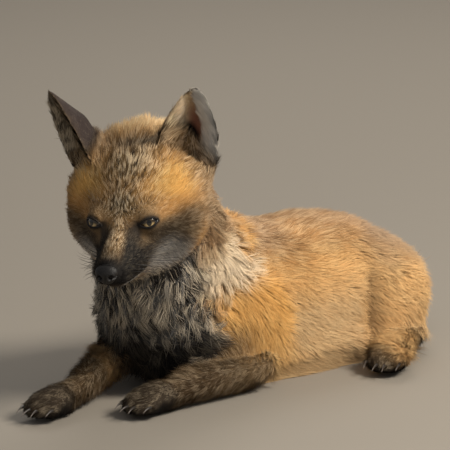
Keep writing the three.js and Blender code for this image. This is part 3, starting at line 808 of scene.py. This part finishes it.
class Finish:
    """The nodes of a material or of a group, and short ways to join them."""

    def __init__(self, tree):
        self.nodes, self.links = tree.nodes, tree.links

    def feed(self, socket, value):
        """Joins a socket to another, or gives it a plain value."""
        if hasattr(value, "links"):
            self.links.new(value, socket)
        elif value is not None:
            socket.default_value = value

    def stored(self, name):
        """What a mesh stores at its points under a name."""
        node = self.nodes.new("ShaderNodeAttribute")
        node.attribute_name = name
        return node.outputs

    def split(self, colour):
        node = self.nodes.new("ShaderNodeSeparateColor")
        self.feed(node.inputs["Color"], colour)
        return node.outputs

    def grain(self, scale, kind="ShaderNodeTexNoise"):
        """A fine pattern that stays with the piece."""
        place = self.nodes.new("ShaderNodeTexCoord")
        node = self.nodes.new(kind)
        self.feed(node.inputs["Scale"], scale)
        self.feed(node.inputs["Vector"], place.outputs["Object"])
        return node.outputs

    def worked(self, operation, *values):
        node = self.nodes.new("ShaderNodeMath")
        node.operation = operation
        for socket, value in zip(node.inputs, values):
            self.feed(socket, value)
        return node.outputs["Value"]

    def eased(self, value, low, high, start=0.0, end=1.0):
        """A smooth step from start to end as the value goes from low to high."""
        node = self.nodes.new("ShaderNodeMapRange")
        node.interpolation_type = "SMOOTHSTEP"
        for name, number in (("Value", value), ("From Min", low), ("From Max", high),
                             ("To Min", start), ("To Max", end)):
            self.feed(node.inputs[name], number)
        return node.outputs["Result"]

    def banded(self, value, *stops):
        """A colour for each value: stops are (place, red, green, blue)."""
        node = self.nodes.new("ShaderNodeValToRGB")
        ramp = node.color_ramp
        while len(ramp.elements) < len(stops):
            ramp.elements.new(0.5)
        for element, (place, *colour) in zip(ramp.elements, stops):
            element.position = place
            element.color = (*colour, 1)
        self.feed(node.inputs["Fac"], value)
        return node.outputs["Color"]

    def blended(self, factor, first, second, mode="MIX", clamped=False):
        node = self.nodes.new("ShaderNodeMix")
        node.data_type = "RGBA"
        node.blend_type = mode
        node.clamp_result = clamped
        for name, value in (("Factor", factor), ("A", first), ("B", second)):
            self.feed(node.inputs[name], value)
        return node.outputs["Result"]

    def bumped(self, height, strength, distance, inverted=False):
        node = self.nodes.new("ShaderNodeBump")
        node.invert = inverted
        for name, value in (("Strength", strength), ("Distance", distance), ("Height", height)):
            self.feed(node.inputs[name], value)
        return node.outputs["Normal"]


def coat_colour_group():
    """A hair's colour from the marking it grows in, its own pick and tone, and the way along it."""
    group = bpy.data.node_groups.new("coat colour", "ShaderNodeTree")
    group.interface.new_socket("Marking", in_out="INPUT", socket_type="NodeSocketColor")
    for name in ("Grizzle", "Pick", "Along", "Tone"):
        socket = group.interface.new_socket(name, in_out="INPUT", socket_type="NodeSocketFloat")
        socket.default_value = 0.0 if name == "Grizzle" else 0.5
    group.interface.new_socket("Color", in_out="OUTPUT", socket_type="NodeSocketColor")
    coat = Finish(group)
    given = coat.nodes.new("NodeGroupInput").outputs
    out = coat.nodes.new("NodeGroupOutput").inputs
    marking, grizzled = given["Marking"], given["Grizzle"]

    # Some hairs are tipped with cream, and some are black all along.
    tipped = coat.worked("MULTIPLY", coat.eased(given["Pick"], 0.52, 0.68),
                         coat.eased(given["Along"], 0.10, 0.50))
    black = coat.worked("MULTIPLY", coat.eased(given["Pick"], 0.36, 0.20), grizzled)
    pale = coat.blended(1.0, marking, (2.4, 2.4, 2.4, 1), "MULTIPLY", clamped=True)
    tip = coat.blended(0.60, pale, (0.86, 0.71, 0.50, 1))
    colour = coat.blended(coat.worked("MULTIPLY", tipped, grizzled), marking, tip)
    colour = coat.blended(black, colour, (0.022, 0.018, 0.016, 1))

    # Each is darker at its root, and a little lighter or darker than the next.
    value = coat.worked("MULTIPLY", coat.eased(given["Along"], 0.0, 0.6, 0.72, 1.0),
                        coat.eased(given["Tone"], 0.0, 1.0, 0.86, 1.12))
    grey = coat.nodes.new("ShaderNodeCombineColor")
    for name in ("Red", "Green", "Blue"):
        coat.feed(grey.inputs[name], value)
    coat.feed(out["Color"], coat.blended(1.0, colour, grey.outputs["Color"], "MULTIPLY"))
    return group


COAT_COLOUR = coat_colour_group()


def material(name, roughness, specular):
    """A new material, its nodes, and the inputs of its shader."""
    made_of = bpy.data.materials.new(name)
    made_of.use_nodes = True
    finish = Finish(made_of.node_tree)
    shader = finish.nodes["Principled BSDF"].inputs
    finish.feed(shader["Roughness"], roughness)
    finish.feed(shader["Specular IOR Level"], specular)
    return made_of, finish, shader


def marked(finish, pick, along, tone):
    """The coat's colour, with the stored markings and the given variation."""
    stored = finish.stored("marks")
    colour = finish.nodes.new("ShaderNodeGroup")
    colour.node_tree = COAT_COLOUR
    for name, source in (("Marking", stored["Color"]), ("Grizzle", stored["Alpha"]),
                         ("Pick", pick), ("Along", along), ("Tone", tone)):
        finish.feed(colour.inputs[name], source)
    return colour.outputs["Color"]


def dress(piece, made_of):
    """Gives a piece its material and smooth shading."""
    piece.data.polygons.foreach_set("use_smooth", np.ones(len(piece.data.polygons), bool))
    piece.data.materials.append(made_of)


skin_of, skin, shader = material("hide", 0.75, 0.2)
fine, coarse = skin.grain(900)["Fac"], skin.grain(160)["Fac"]
skin.feed(shader["Base Color"], marked(skin, None, coarse, fine))
skin.feed(shader["Normal"], skin.bumped(fine, 0.5, 0.0006))
dress(hide, skin_of)
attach(hide, "root")
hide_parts(*FLESH)

# ---------------------------------------------------------------- the eyes
# Two firm wet balls set deep under the lids. The amber iris lies behind a low clear dome, with
# an upright oval pupil. A black moist rim of lid runs round each and ends in the tear corner.

IRIS_HALF = 34.0                                 # the iris, in degrees on the ball
PUPIL_WIDE, PUPIL_TALL = 0.36, 0.46              # the pupil, in parts of the iris
DOME = 0.5                                       # how far the dome stands proud, in millimetres
RIM_RADIUS = 0.50                                # of the rod that edges the lids, in millimetres
RIM_SECTIONS = 72

eye_of, iris, shader = material("eye", 0.06, 0.5)
iris.feed(shader["Coat Weight"], 1.0)
iris.feed(shader["Coat Roughness"], 0.02)
# On the ball, red runs across the iris and green up it, each 0 to 1; blue is 1 at the gaze.
on_iris = iris.split(iris.stored("iris")["Color"])
u = iris.worked("MULTIPLY_ADD", on_iris["Red"], 2.0, -1.0)
v = iris.worked("MULTIPLY_ADD", on_iris["Green"], 2.0, -1.0)


def off_middle(wide, tall):
    """How far out a point lies on an oval, which is 1 at its edge."""
    across, up_it = iris.worked("DIVIDE", u, wide), iris.worked("DIVIDE", v, tall)
    return iris.worked("SQRT", iris.worked("ADD", iris.worked("MULTIPLY", across, across),
                                           iris.worked("MULTIPLY", up_it, up_it)))


r = off_middle(1.0, 1.0)
fibre_at = iris.nodes.new("ShaderNodeCombineXYZ")
iris.feed(fibre_at.inputs["X"], iris.worked("MULTIPLY", iris.worked("ARCTAN2", v, u), 6.0))
iris.feed(fibre_at.inputs["Y"], r)
fibres = iris.nodes.new("ShaderNodeTexNoise")
for name, value in (("Scale", 3.0), ("Detail", 4.0), ("Vector", fibre_at.outputs["Vector"])):
    iris.feed(fibres.inputs[name], value)
amber = iris.banded(r, (0.0, 0.14, 0.08, 0.03), (0.42, 0.56, 0.44, 0.24), (0.70, 0.30, 0.21, 0.09),
                    (0.86, 0.03, 0.018, 0.010), (1.0, 0.006, 0.004, 0.004))
amber = iris.blended(iris.worked("MULTIPLY", fibres.outputs["Fac"], 0.6), amber,
                     (0.80, 0.62, 0.36, 1), "OVERLAY")
# Painted shadow: the upper half of the iris is darkened, as if the brow and the lid shaded it.
lid_shadow = iris.banded(on_iris["Green"], (0.34, 1, 1, 1), (0.54, 0.08, 0.075, 0.075))
pupil = iris.banded(off_middle(PUPIL_WIDE, PUPIL_TALL), (0.86, 0, 0, 0), (1.0, 1, 1, 1))
amber = iris.blended(1.0, amber, lid_shadow, "MULTIPLY")
iris.feed(shader["Base Color"], iris.blended(1.0, amber, pupil, "MULTIPLY"))

rim_of, rim_skin, shader = material("lid rim", 0.28, 0.5)
rim_skin.feed(shader["Base Color"], rim_skin.banded(
    rim_skin.grain(1600)["Fac"], (0.3, 0.006, 0.005, 0.005), (0.8, 0.024, 0.018, 0.016)))


def tube(points, radii, sides, closed=False):
    """The points and faces of a round rod along a path, drawn to a point at an open end."""
    points = np.asarray(points, float)
    n = len(points)
    ahead = np.roll(points, -1, 0) - np.roll(points, 1, 0) if closed else np.gradient(points, axis=0)
    ahead = unit(ahead)
    side = unit(np.cross(ahead, ahead.mean(0) + [0.31, 0.17, 0.93]))     # no path runs that way
    for i in range(1, n):
        side[i] = unit(side[i - 1] - (side[i - 1] @ ahead[i]) * ahead[i])
    over = np.cross(ahead, side)
    around = np.linspace(0, 2 * np.pi, sides, endpoint=False)
    ring = np.cos(around)[None, :, None] * side[:, None] + np.sin(around)[None, :, None] * over[:, None]
    verts = (points[:, None] + ring * np.asarray(radii)[:, None, None]).reshape(-1, 3)
    faces = []
    for k in range(n if closed else n - 1):
        for i in range(sides):
            j, m = (i + 1) % sides, (k + 1) % n
            a, b, c, d = k * sides + i, k * sides + j, m * sides + j, m * sides + i
            faces += [(a, b, c), (a, c, d)]
    if not closed:
        base, tip = len(verts), len(verts) + 1
        verts = np.concatenate([verts, [points[0], points[-1]]])
        for i in range(sides):
            j = (i + 1) % sides
            faces += [(base, j, i), (tip, (n - 1) * sides + i, (n - 1) * sides + j)]
    return verts, np.array(faces)


for side, centre, name in ((1, EYE_SPOTS[0], "left"), (-1, EYE_SPOTS[1], "right")):
    across, above, out = gaze(side)
    bpy.ops.object.select_all(action="DESELECT")
    bpy.ops.mesh.primitive_uv_sphere_add(segments=40, ring_count=44, radius=1, location=(0, 0, 0))
    eye = bpy.context.active_object
    eye.name = f"eyeball_{name}"
    ball = read(eye.data.vertices, "co", 3)
    from_gaze = np.degrees(np.arccos(np.clip(ball[:, 2], -1, 1)))
    dome = DOME * np.clip(1 - (from_gaze / IRIS_HALF) ** 2, 0, 1)
    turned = ball[:, :1] * across * side + ball[:, 1:2] * above + ball[:, 2:] * out
    set_points(eye, from_head(centre + turned * (EYE_BALL - 0.05 + dome)[:, None]))
    flat = unit(ball[:, :2] + 1e-9) * np.minimum(from_gaze / IRIS_HALF, 1.4)[:, None]
    point_colours(eye, "iris", np.column_stack([flat * 0.5 + 0.5, ball[:, 2] > 0, np.ones(len(ball))]))
    dress(eye, eye_of)
    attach(eye, "root")
    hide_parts(f"eye_{name}")

    turn = np.linspace(0, 2 * np.pi, RIM_SECTIONS, endpoint=False)
    a = (OPEN_HALF + 1.0) * np.cos(turn)
    upper, lower = lid_edges(np.clip(a, -OPEN_HALF, OPEN_HALF))
    b = np.where(np.sin(turn) >= 0, upper, lower) + 1.2 * np.sin(turn)
    a = np.where(np.cos(turn) < -0.93, a * 1.12, a)              # drawn out to the tear corner
    path = from_head(centre + on_ball((across, above, out), a, b) * (EYE_BALL + 0.42))
    rim = made(f"lid_rim_{name}", *tube(path, np.full(RIM_SECTIONS, RIM_RADIUS * MM), 8, closed=True))
    dress(rim, rim_of)
    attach(rim, "root")

# ---------------------------------------------------------------- the nose
# A bare pad of black pebbled leather skin, moist, with a comma-shaped nostril on each side and
# a groove down its middle to the lip.

PAD_HALF = (7.4, 5.6, 6.8)                       # half its width, depth and height, in millimetres

bpy.ops.object.select_all(action="DESELECT")
bpy.ops.mesh.primitive_cube_add(size=1, location=(0, 0, 0))
nose = bpy.context.active_object
nose.name = "nose_pad"
bpy.ops.object.mode_set(mode="EDIT")
bpy.ops.mesh.select_all(action="SELECT")
bpy.ops.mesh.subdivide(number_cuts=31)
bpy.ops.transform.tosphere(value=1.0)
bpy.ops.object.mode_set(mode="OBJECT")
pad = unit(read(nose.data.vertices, "co", 3))
shape = pad * PAD_HALF
shape[:, 0] *= 1 + 0.26 * pad[:, 2]                                          # wider above
shape[:, 2] += 0.5
shape[:, 1] += 1.2 * np.clip(pad[:, 2], 0, 1) ** 2 * (pad[:, 1] < 0)         # the top slopes back
face_on = pad[:, 1] < 0.15
for side in (1, -1):
    hole = np.hypot((pad[:, 0] * side - 0.50) / 0.20, (pad[:, 2] + 0.05) / 0.24)
    slit = np.hypot((pad[:, 0] * side - 0.80) / 0.26, (pad[:, 2] + 0.16) / 0.11)
    pit = np.maximum(np.exp(-hole ** 2.6), 0.75 * np.exp(-slit ** 2.4)) * face_on
    shape[:, 1] += 3.2 * pit
    shape[:, 0] -= side * 0.7 * np.exp(-slit ** 2) * face_on
    shape[:, 1] -= 0.45 * np.exp(-((hole - 1.35) / 0.35) ** 2) * face_on     # the nostril's wing
groove = np.exp(-(pad[:, 0] / 0.07) ** 2) * step(0.45, -0.2, pad[:, 2]) * face_on
shape[:, 1] += 0.8 * groove
set_points(nose, from_head(in_head(np.array([middle("nose")]))[0] + shape))
nose_of, leather, shader = material("nose leather", 0.46, 0.4)
pebbles = leather.grain(1500, "ShaderNodeTexVoronoi")["Distance"]
leather.feed(shader["Base Color"], leather.banded(
    pebbles, (0.1, 0.018, 0.016, 0.015), (0.6, 0.007, 0.006, 0.006)))
leather.feed(shader["Normal"], leather.bumped(pebbles, 0.7, 0.0003, inverted=True))
dress(nose, nose_of)
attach(nose, "root")
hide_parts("nose")

# ---------------------------------------------------------------- the claws
# Sixteen short curved claws of grey-brown horn, darker at the root and paler at the worn tip,
# each rooted in the end of a toe.

CLAW_RADIUS, CLAW_TIP = 0.80, 0.07               # at the root and at the tip, in millimetres
CLAW_SHARE = 0.78                                # of the solid's length, past the toe's hair
CLAW_RISE = 0.9                                  # how far it bows up, in millimetres

claw_of, horn, shader = material("horn", 0.38, 0.5)
worn = horn.worked("MULTIPLY_ADD", horn.grain(1100)["Fac"], 0.25, horn.stored("horn")["Fac"])
horn.feed(shader["Base Color"], horn.banded(
    worn, (0.15, 0.022, 0.018, 0.015), (0.70, 0.045, 0.035, 0.028), (1.1, 0.13, 0.105, 0.085)))
for paw in ("forepaw_left", "forepaw_right", "hindpaw_left", "hindpaw_right"):
    parts, along = [], []
    hub = np.array(middle(paw))
    for n in (1, 2, 3, 4):
        p, _ = welded(f"{paw}_claw_{n}")
        away = np.linalg.norm((p - hub)[:, :2], axis=1)
        tip, root = p[away.argmax()], p[away.argsort()[:4]].mean(0)
        t = np.linspace(-0.05, 1, 9)
        out = t.clip(0, 1)                       # 0 at the toe, 1 at the tip
        path = root + ((tip - root) * CLAW_SHARE) * t[:, None]
        path[:, 2] += CLAW_RISE * MM * np.sin(np.pi * out)
        path[:, 2] = np.maximum(path[:, 2], 0.6 * MM)
        points, faces = tube(path, CLAW_RADIUS * MM * (1 - out ** 1.7) + CLAW_TIP * MM, 10)
        points[:, 2] = np.maximum(points[:, 2], 0.1 * MM)
        parts.append((points, faces))
        along += [np.repeat(out, 10), [0.0, 1.0]]
    claw = made(f"claws_{paw}", *joined(parts))
    layer = claw.data.attributes.new("horn", "FLOAT", "POINT")
    layer.data.foreach_set("value", np.concatenate(along).astype(np.float32))
    dress(claw, claw_of)
    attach(claw, "root")
    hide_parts(*[f"{paw}_claw_{n}" for n in (1, 2, 3, 4)])

# ---------------------------------------------------------------- the whiskers
# Stiff black tapering hairs, in rows on each side of the muzzle and a few over each eye,
# sweeping back and a little down.

WHISKER_ROWS, WHISKERS_IN_ROW, BROW_HAIRS = 4, 5, 3

whisker_of, bristle, shader = material("whisker", 0.35, 0.4)
bristle.feed(shader["Base Color"], bristle.banded(
    bristle.grain(80)["Fac"], (0.3, 0.006, 0.005, 0.005), (0.8, 0.03, 0.025, 0.022)))
hide_tree = search_tree(hide_net.points, hide_net.triangles)


def met(start, end):
    """Where the line from one point of the head's frame to another first meets the hide."""
    start = from_head(start)
    return hide_tree.ray_cast(Vector(start), Vector(from_head(end) - start))[0]


def whisker(root, heading, bow, length, radius, tip, sections):
    """A hair that leaves the hide along heading and is bent by bow, both in the head's frame."""
    t = np.linspace(0, 1, sections)[:, None]
    path = np.array(root) + ((unit(np.array(heading)) * t + np.array(bow) * t ** 2) * length * MM) @ HEAD_AXES
    return tube(path, (radius * (1 - t[:, 0]) + tip) * MM, 5)


parts = []
for side in (1, -1):
    for row in range(WHISKER_ROWS):
        for i in range(WHISKERS_IN_ROW):
            root = met([side * 30, -72 + 4.6 * i + 1.1 * row, -3.5 - 2.9 * row],
                       [0, -70 + 4.6 * i, -6 - 2.9 * row])
            if root is None:
                continue
            length = (20 + 6.0 * i) * (0.85 + 0.3 * rng.random())
            fan = 0.10 - 0.20 * row + 0.10 * rng.normal()
            parts.append(whisker(root, [side * 0.86, 0.30 + 0.10 * i, fan], [side * -0.10, 0.42, -0.20],
                                 length, 0.14, 0.025, 12))
    for i in range(BROW_HAIRS):
        root = met([side * (13 + 3 * i), -60, 26], [side * (13 + 3 * i), -20, 16])
        if root is None:
            continue
        parts.append(whisker(root, [side * (0.35 + 0.2 * i), -0.25, 0.75], [0, 0.45, 0], 15, 0.11, 0.02, 9))
whiskers = made("whiskers", *joined(parts))
dress(whiskers, whisker_of)
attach(whiskers, "root")

# ---------------------------------------------------------------- the coat
# Soft tufts of hair, each a slender closed spike rooted in the skin and bent back along the
# lie of the coat. They are grown region by region, each region one piece.

only(hide)
bpy.ops.object.mode_set(mode="EDIT")
bpy.ops.mesh.select_all(action="SELECT")
bpy.ops.uv.smart_project(angle_limit=math.radians(66), island_margin=0.002)
bpy.ops.object.mode_set(mode="OBJECT")
unwrap = read(hide.data.uv_layers.active.data, "uv", 2)
hide.data.calc_loop_triangles()
corner_loops = read(hide.data.loop_triangles, "loops", 3, np.int32)
hide.data.uv_layers.remove(hide.data.uv_layers.active)

T = hide_net.triangles
corner = [P[T[:, i]] for i in range(3)]
T_AREA = np.linalg.norm(np.cross(corner[1] - corner[0], corner[2] - corner[0]), axis=1) / 2 / MM ** 2
T_LABEL = label[T[:, 0]]
swirl = mottled(14, 2)
PATCH = 0.003                                    # a tuft's patch on the unwrap
SKIN_SHADED = 0.75                               # how far a tuft is shaded as the skin below it

fur_of, fur, shader = material("fur", 0.75, 0.08)
lock = fur.split(fur.stored("lock")["Color"])
fur.feed(shader["Base Color"], marked(fur, lock["Red"], lock["Green"], lock["Blue"]))

RING = np.array([[-1.0, -0.35], [1.0, -0.35], [0.0, 0.6]])   # a tuft's section: side, height


def grow(name, chosen, rings, clumps, share=1.0, bunch=26):
    """One piece of coat over the chosen triangles of the hide.

    A tuft is pointed at both ends, with rings sections between, at which it bends; with no
    ring it is a slip that is widest at its root. clumps is how far its tip joins the tips near it,
    bunch how many join, and these mostly share their colour too."""
    picked = np.flatnonzero(chosen)
    wanted = hair[T[picked], TUFTS].mean(1) * T_AREA[picked] * share
    count = np.floor(wanted + rng.random(len(picked))).astype(int)
    tri = np.repeat(picked, count)
    n = len(tri)
    r1, r2 = np.sqrt(rng.random(n)), rng.random(n)
    weight = np.stack([1 - r1, r1 * (1 - r2), r1 * r2], 1)[:, :, None]

    def at(values):
        return (values[T[tri]] * weight.reshape(n, 3, *([1] * (values.ndim - 1)))).sum(1)

    root, normal = at(P), unit(at(normals))
    flow = along_skin(at(lie), normal)
    side = np.cross(normal, flow)
    length, rise, width, _, curl = at(hair).T
    mark, drift = at(marks), at(swirl)
    length = length * (0.7 + 0.6 * rng.random(n)) * MM
    width = width * (0.7 + 0.6 * rng.random(n)) * MM / 2
    rise = np.radians(rise) * (0.75 + 0.5 * rng.random(n))
    turn = 0.50 * curl * drift[:, 0] + rng.normal(size=n) * (0.10 + 0.08 * curl)
    bend = curl * (0.5 * drift[:, 1] + rng.normal(size=n) * 0.6)

    # The middle line of each tuft, from just under the skin: steep at first, then laid back.
    steps = np.array({0: [0, 1], 1: [0, 0.4, 1], 2: [0, 0.3, 0.65, 1]}[rings])
    path = [root - normal * (0.3 * MM)]
    for low, high in zip(steps, steps[1:]):
        t = (low + high) / 2
        steep, way = rise * (1.45 - 0.95 * t), turn + bend * t
        heading = np.cos(way)[:, None] * flow + np.sin(way)[:, None] * side
        path.append(path[-1] + (length * (high - low))[:, None]
                    * (np.cos(steep)[:, None] * heading + np.sin(steep)[:, None] * normal))
    path = np.stack(path, 1)
    pick, tone = rng.random(n), np.clip(0.5 + 0.22 * rng.normal(size=n) + 0.12 * drift[:, 1], 0, 1)
    if n > 50:
        seeds = rng.choice(n, max(n // bunch, 1), replace=False)
        tree = KDTree(len(seeds))
        for i, s in enumerate(seeds):
            tree.insert(root[s], i)
        tree.balance()
        nearest = seeds[[tree.find(p)[1] for p in root]]
        pull = path[nearest, -1] - path[:, -1]
        pull[np.linalg.norm(pull, axis=1) > 0.9 * length] = 0
        pick = np.where(rng.random(n) < 0.65, pick[nearest], pick)
        path += pull[:, None, :] * (clumps * steps ** 1.6)[None, :, None]
    path[:, :, 2] = np.maximum(path[:, :, 2], 0.35 * MM)

    # Its sections, and the faces between them, which are alike on every tuft.
    heading = unit(np.gradient(path, axis=1))
    sideways = unit(np.cross(normal[:, None, :], heading))
    lift = np.cross(heading, sideways)
    belts = [0] if rings == 0 else list(range(1, rings + 1))
    girth = [1.0, 0.75][:len(belts)]
    sections = [path[:, k, None, :] + (width * g)[:, None, None]
                * (RING[:, 0, None] * sideways[:, k, None, :] + RING[:, 1, None] * lift[:, k, None, :])
                for k, g in zip(belts, girth)]
    radials = [RING[:, 0, None] * sideways[:, k, None, :] + (RING[:, 1, None] + 0.1) * lift[:, k, None, :]
               for k in belts]
    pointed = [] if rings == 0 else [path[:, :1, :]]
    points = np.concatenate(pointed + sections + [path[:, -1:, :]], 1)
    points[:, :, 2] = np.maximum(points[:, :, 2], 0.15 * MM)
    per, start = points.shape[1], len(pointed)
    pattern = [(0, 2, 1)] if rings == 0 else [(0, 1 + (i + 1) % 3, 1 + i) for i in range(3)]
    for k in range(len(belts) - 1):
        for i in range(3):
            here, there = start + 3 * k + i, start + 3 * k + (i + 1) % 3
            pattern += [(here, there, there + 3), (here, there + 3, here + 3)]
    last = start + 3 * (len(belts) - 1)
    pattern += [(last + i, last + (i + 1) % 3, per - 1) for i in range(3)]
    faces = (np.arange(n)[:, None, None] * per + np.array(pattern)[None]).reshape(-1, 3)
    piece = made(name, points.reshape(-1, 3), faces)

    # What its material reads, its place on the unwrap, and its shading.
    along = np.concatenate([[0.0] * start, np.repeat(steps[belts], 3), [1.0]])
    lock_values = np.ones((n, per, 4))
    lock_values[:, :, 0] = pick[:, None]
    lock_values[:, :, 1] = along[None]
    lock_values[:, :, 2] = tone[:, None]
    point_colours(piece, "lock", lock_values)
    point_colours(piece, "marks", np.repeat(mark[:, None, :], per, 1))
    base = (unwrap[corner_loops[tri]] * weight).sum(1)
    across = np.concatenate([[0.0] * start, np.tile([-0.5, 0.5, 0.0], len(belts)), [0.0]])
    patch = np.clip(base[:, None, :] + PATCH * np.stack([across, along - 0.5], 1)[None], 0, 1)
    layer = piece.data.uv_layers.new(name="OFBake")
    layer.data.foreach_set("uv", patch.reshape(-1, 2)[faces.ravel()].astype(np.float32).ravel())
    dress(piece, fur_of)
    radial = np.concatenate([lift[:, :1, :]] * start + radials + [lift[:, -1:, :]], 1)
    shading = unit((1 - SKIN_SHADED) * unit(radial) + SKIN_SHADED * normal[:, None, :])
    piece.data.normals_split_custom_set_from_vertices(shading.reshape(-1, 3))
    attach(piece, "root")
    print(name, n, "tufts", len(faces), "triangles")


def on(*names):
    return named(T_LABEL, *names)


T_MID = (corner[0] + corner[1] + corner[2]) / 3
in_face = on("head") & (in_head(T_MID)[:, 1] < -14)
grow("coat_face", in_face, 0, 0.5, bunch=6)
grow("coat_cheeks", on("head") & ~in_face, 1, 0.4, bunch=16)
cupped = np.maximum(*[ear["on"] * ear["inner"] for ear in ears.values()])
in_cup = cupped[T].mean(1) > 0.5
grow("coat_ears", on("ear") & ~in_cup, 0, 0.1)
grow("coat_ear_cups", on("ear") & in_cup, 1, 0.45, bunch=12)
grow("coat_neck", on("neck"), 1, 0.6)
grow("coat_breast", on("chest"), 2, 0.65, bunch=18)
SADDLE_HEIGHT = 0.086
saddle = on("barrel") & (T_MID[:, 2] > SADDLE_HEIGHT)
grow("coat_back", saddle, 1, 0.3)
for s, side in (("left", 1), ("right", -1)):
    half = side * (T_MID[:, 0] - middle("barrel").x) > 0
    grow(f"coat_flank_{s}", on("barrel") & ~saddle & half, 1, 0.3)
    grow(f"coat_shoulder_{s}", on(f"shoulder_{s}"), 1, 0.3)
    grow(f"coat_haunch_{s}", on(f"thigh_{s}"), 1, 0.3)
grow("coat_rump", on("rump"), 1, 0.3)
grow("coat_forelegs", on("forearm", "forepaw"), 0, 0.2)
grow("coat_hindlegs", on("hock", "hindpaw"), 0, 0.2)
grow("coat_tail", on("tail"), 1, 0.3, 1.1)

# ---------------------------------------------------------------- the room
# A plain pale floor under soft studio lamps, and the camera at the height of a crouching viewer.

FLOOR = 3.0
bpy.ops.object.select_all(action="DESELECT")
bpy.ops.mesh.primitive_plane_add(size=FLOOR, location=(0, 0, 0))
floor = bpy.context.active_object
floor.name = "floor"
bpy.ops.object.transform_apply(location=True, rotation=True, scale=True)
floor_of, paper, shader = material("floor", 0.8, 0.2)
paper.feed(shader["Base Color"], (0.30, 0.27, 0.23, 1))
floor.data.materials.append(floor_of)

world = bpy.data.worlds.new("studio")
bpy.context.scene.world = world
world.use_nodes = True
world.node_tree.nodes["Background"].inputs["Color"].default_value = (0.84, 0.83, 0.82, 1)
world.node_tree.nodes["Background"].inputs["Strength"].default_value = 0.27


def aimed(name, data, target, azimuth, elevation, distance):
    """A lamp or a camera that looks at a point from a side and a height, in degrees."""
    a, e = math.radians(azimuth), math.radians(elevation)
    way = Vector((math.sin(a) * math.cos(e), -math.cos(a) * math.cos(e), math.sin(e)))
    thing = bpy.data.objects.new(name, data)
    bpy.context.scene.collection.objects.link(thing)
    thing.location = target + way * distance
    thing.rotation_euler = way.to_track_quat("Z", "Y").to_euler()
    return thing


LAMPS_AIM, LAMPS_AWAY = Vector((0, 0, 0.08)), 1.6


def lamp(name, azimuth, elevation, size, power, colour):
    data = bpy.data.lights.new(name, "AREA")
    data.shape = "DISK"
    data.size = size
    data.energy = power
    data.color = colour
    return aimed(name, data, LAMPS_AIM, azimuth, elevation, LAMPS_AWAY)


lamp("key", 104, 42, 0.6, 28, (1.0, 0.93, 0.82))
fill = lamp("fill", 45, 25, 1.2, 3, (0.93, 0.96, 1.0))
fill.visible_glossy = False
lamp("rim", 215, 40, 0.8, 8, (1.0, 0.95, 0.88))

VIEW_AZIMUTH, VIEW_HEIGHT, VIEW_DISTANCE = 45.0, 13.0, 5.0
VIEW_WIDTH = 0.3015                              # what the frame spans at the fox
SENSOR = 36.0
low, high = cad_box
aim = Vector(((low.x + high.x) / 2 + 0.0046, (low.y + high.y) / 2 + 0.0102, 0.0955))
camera = aimed("camera", bpy.data.cameras.new("camera"), aim, VIEW_AZIMUTH, VIEW_HEIGHT, VIEW_DISTANCE)
camera.data.sensor_width = SENSOR
camera.data.lens = SENSOR * VIEW_DISTANCE / VIEW_WIDTH
camera.data.clip_end = 50
bpy.context.scene.camera = camera
bpy.context.scene.view_settings.view_transform = "Standard"
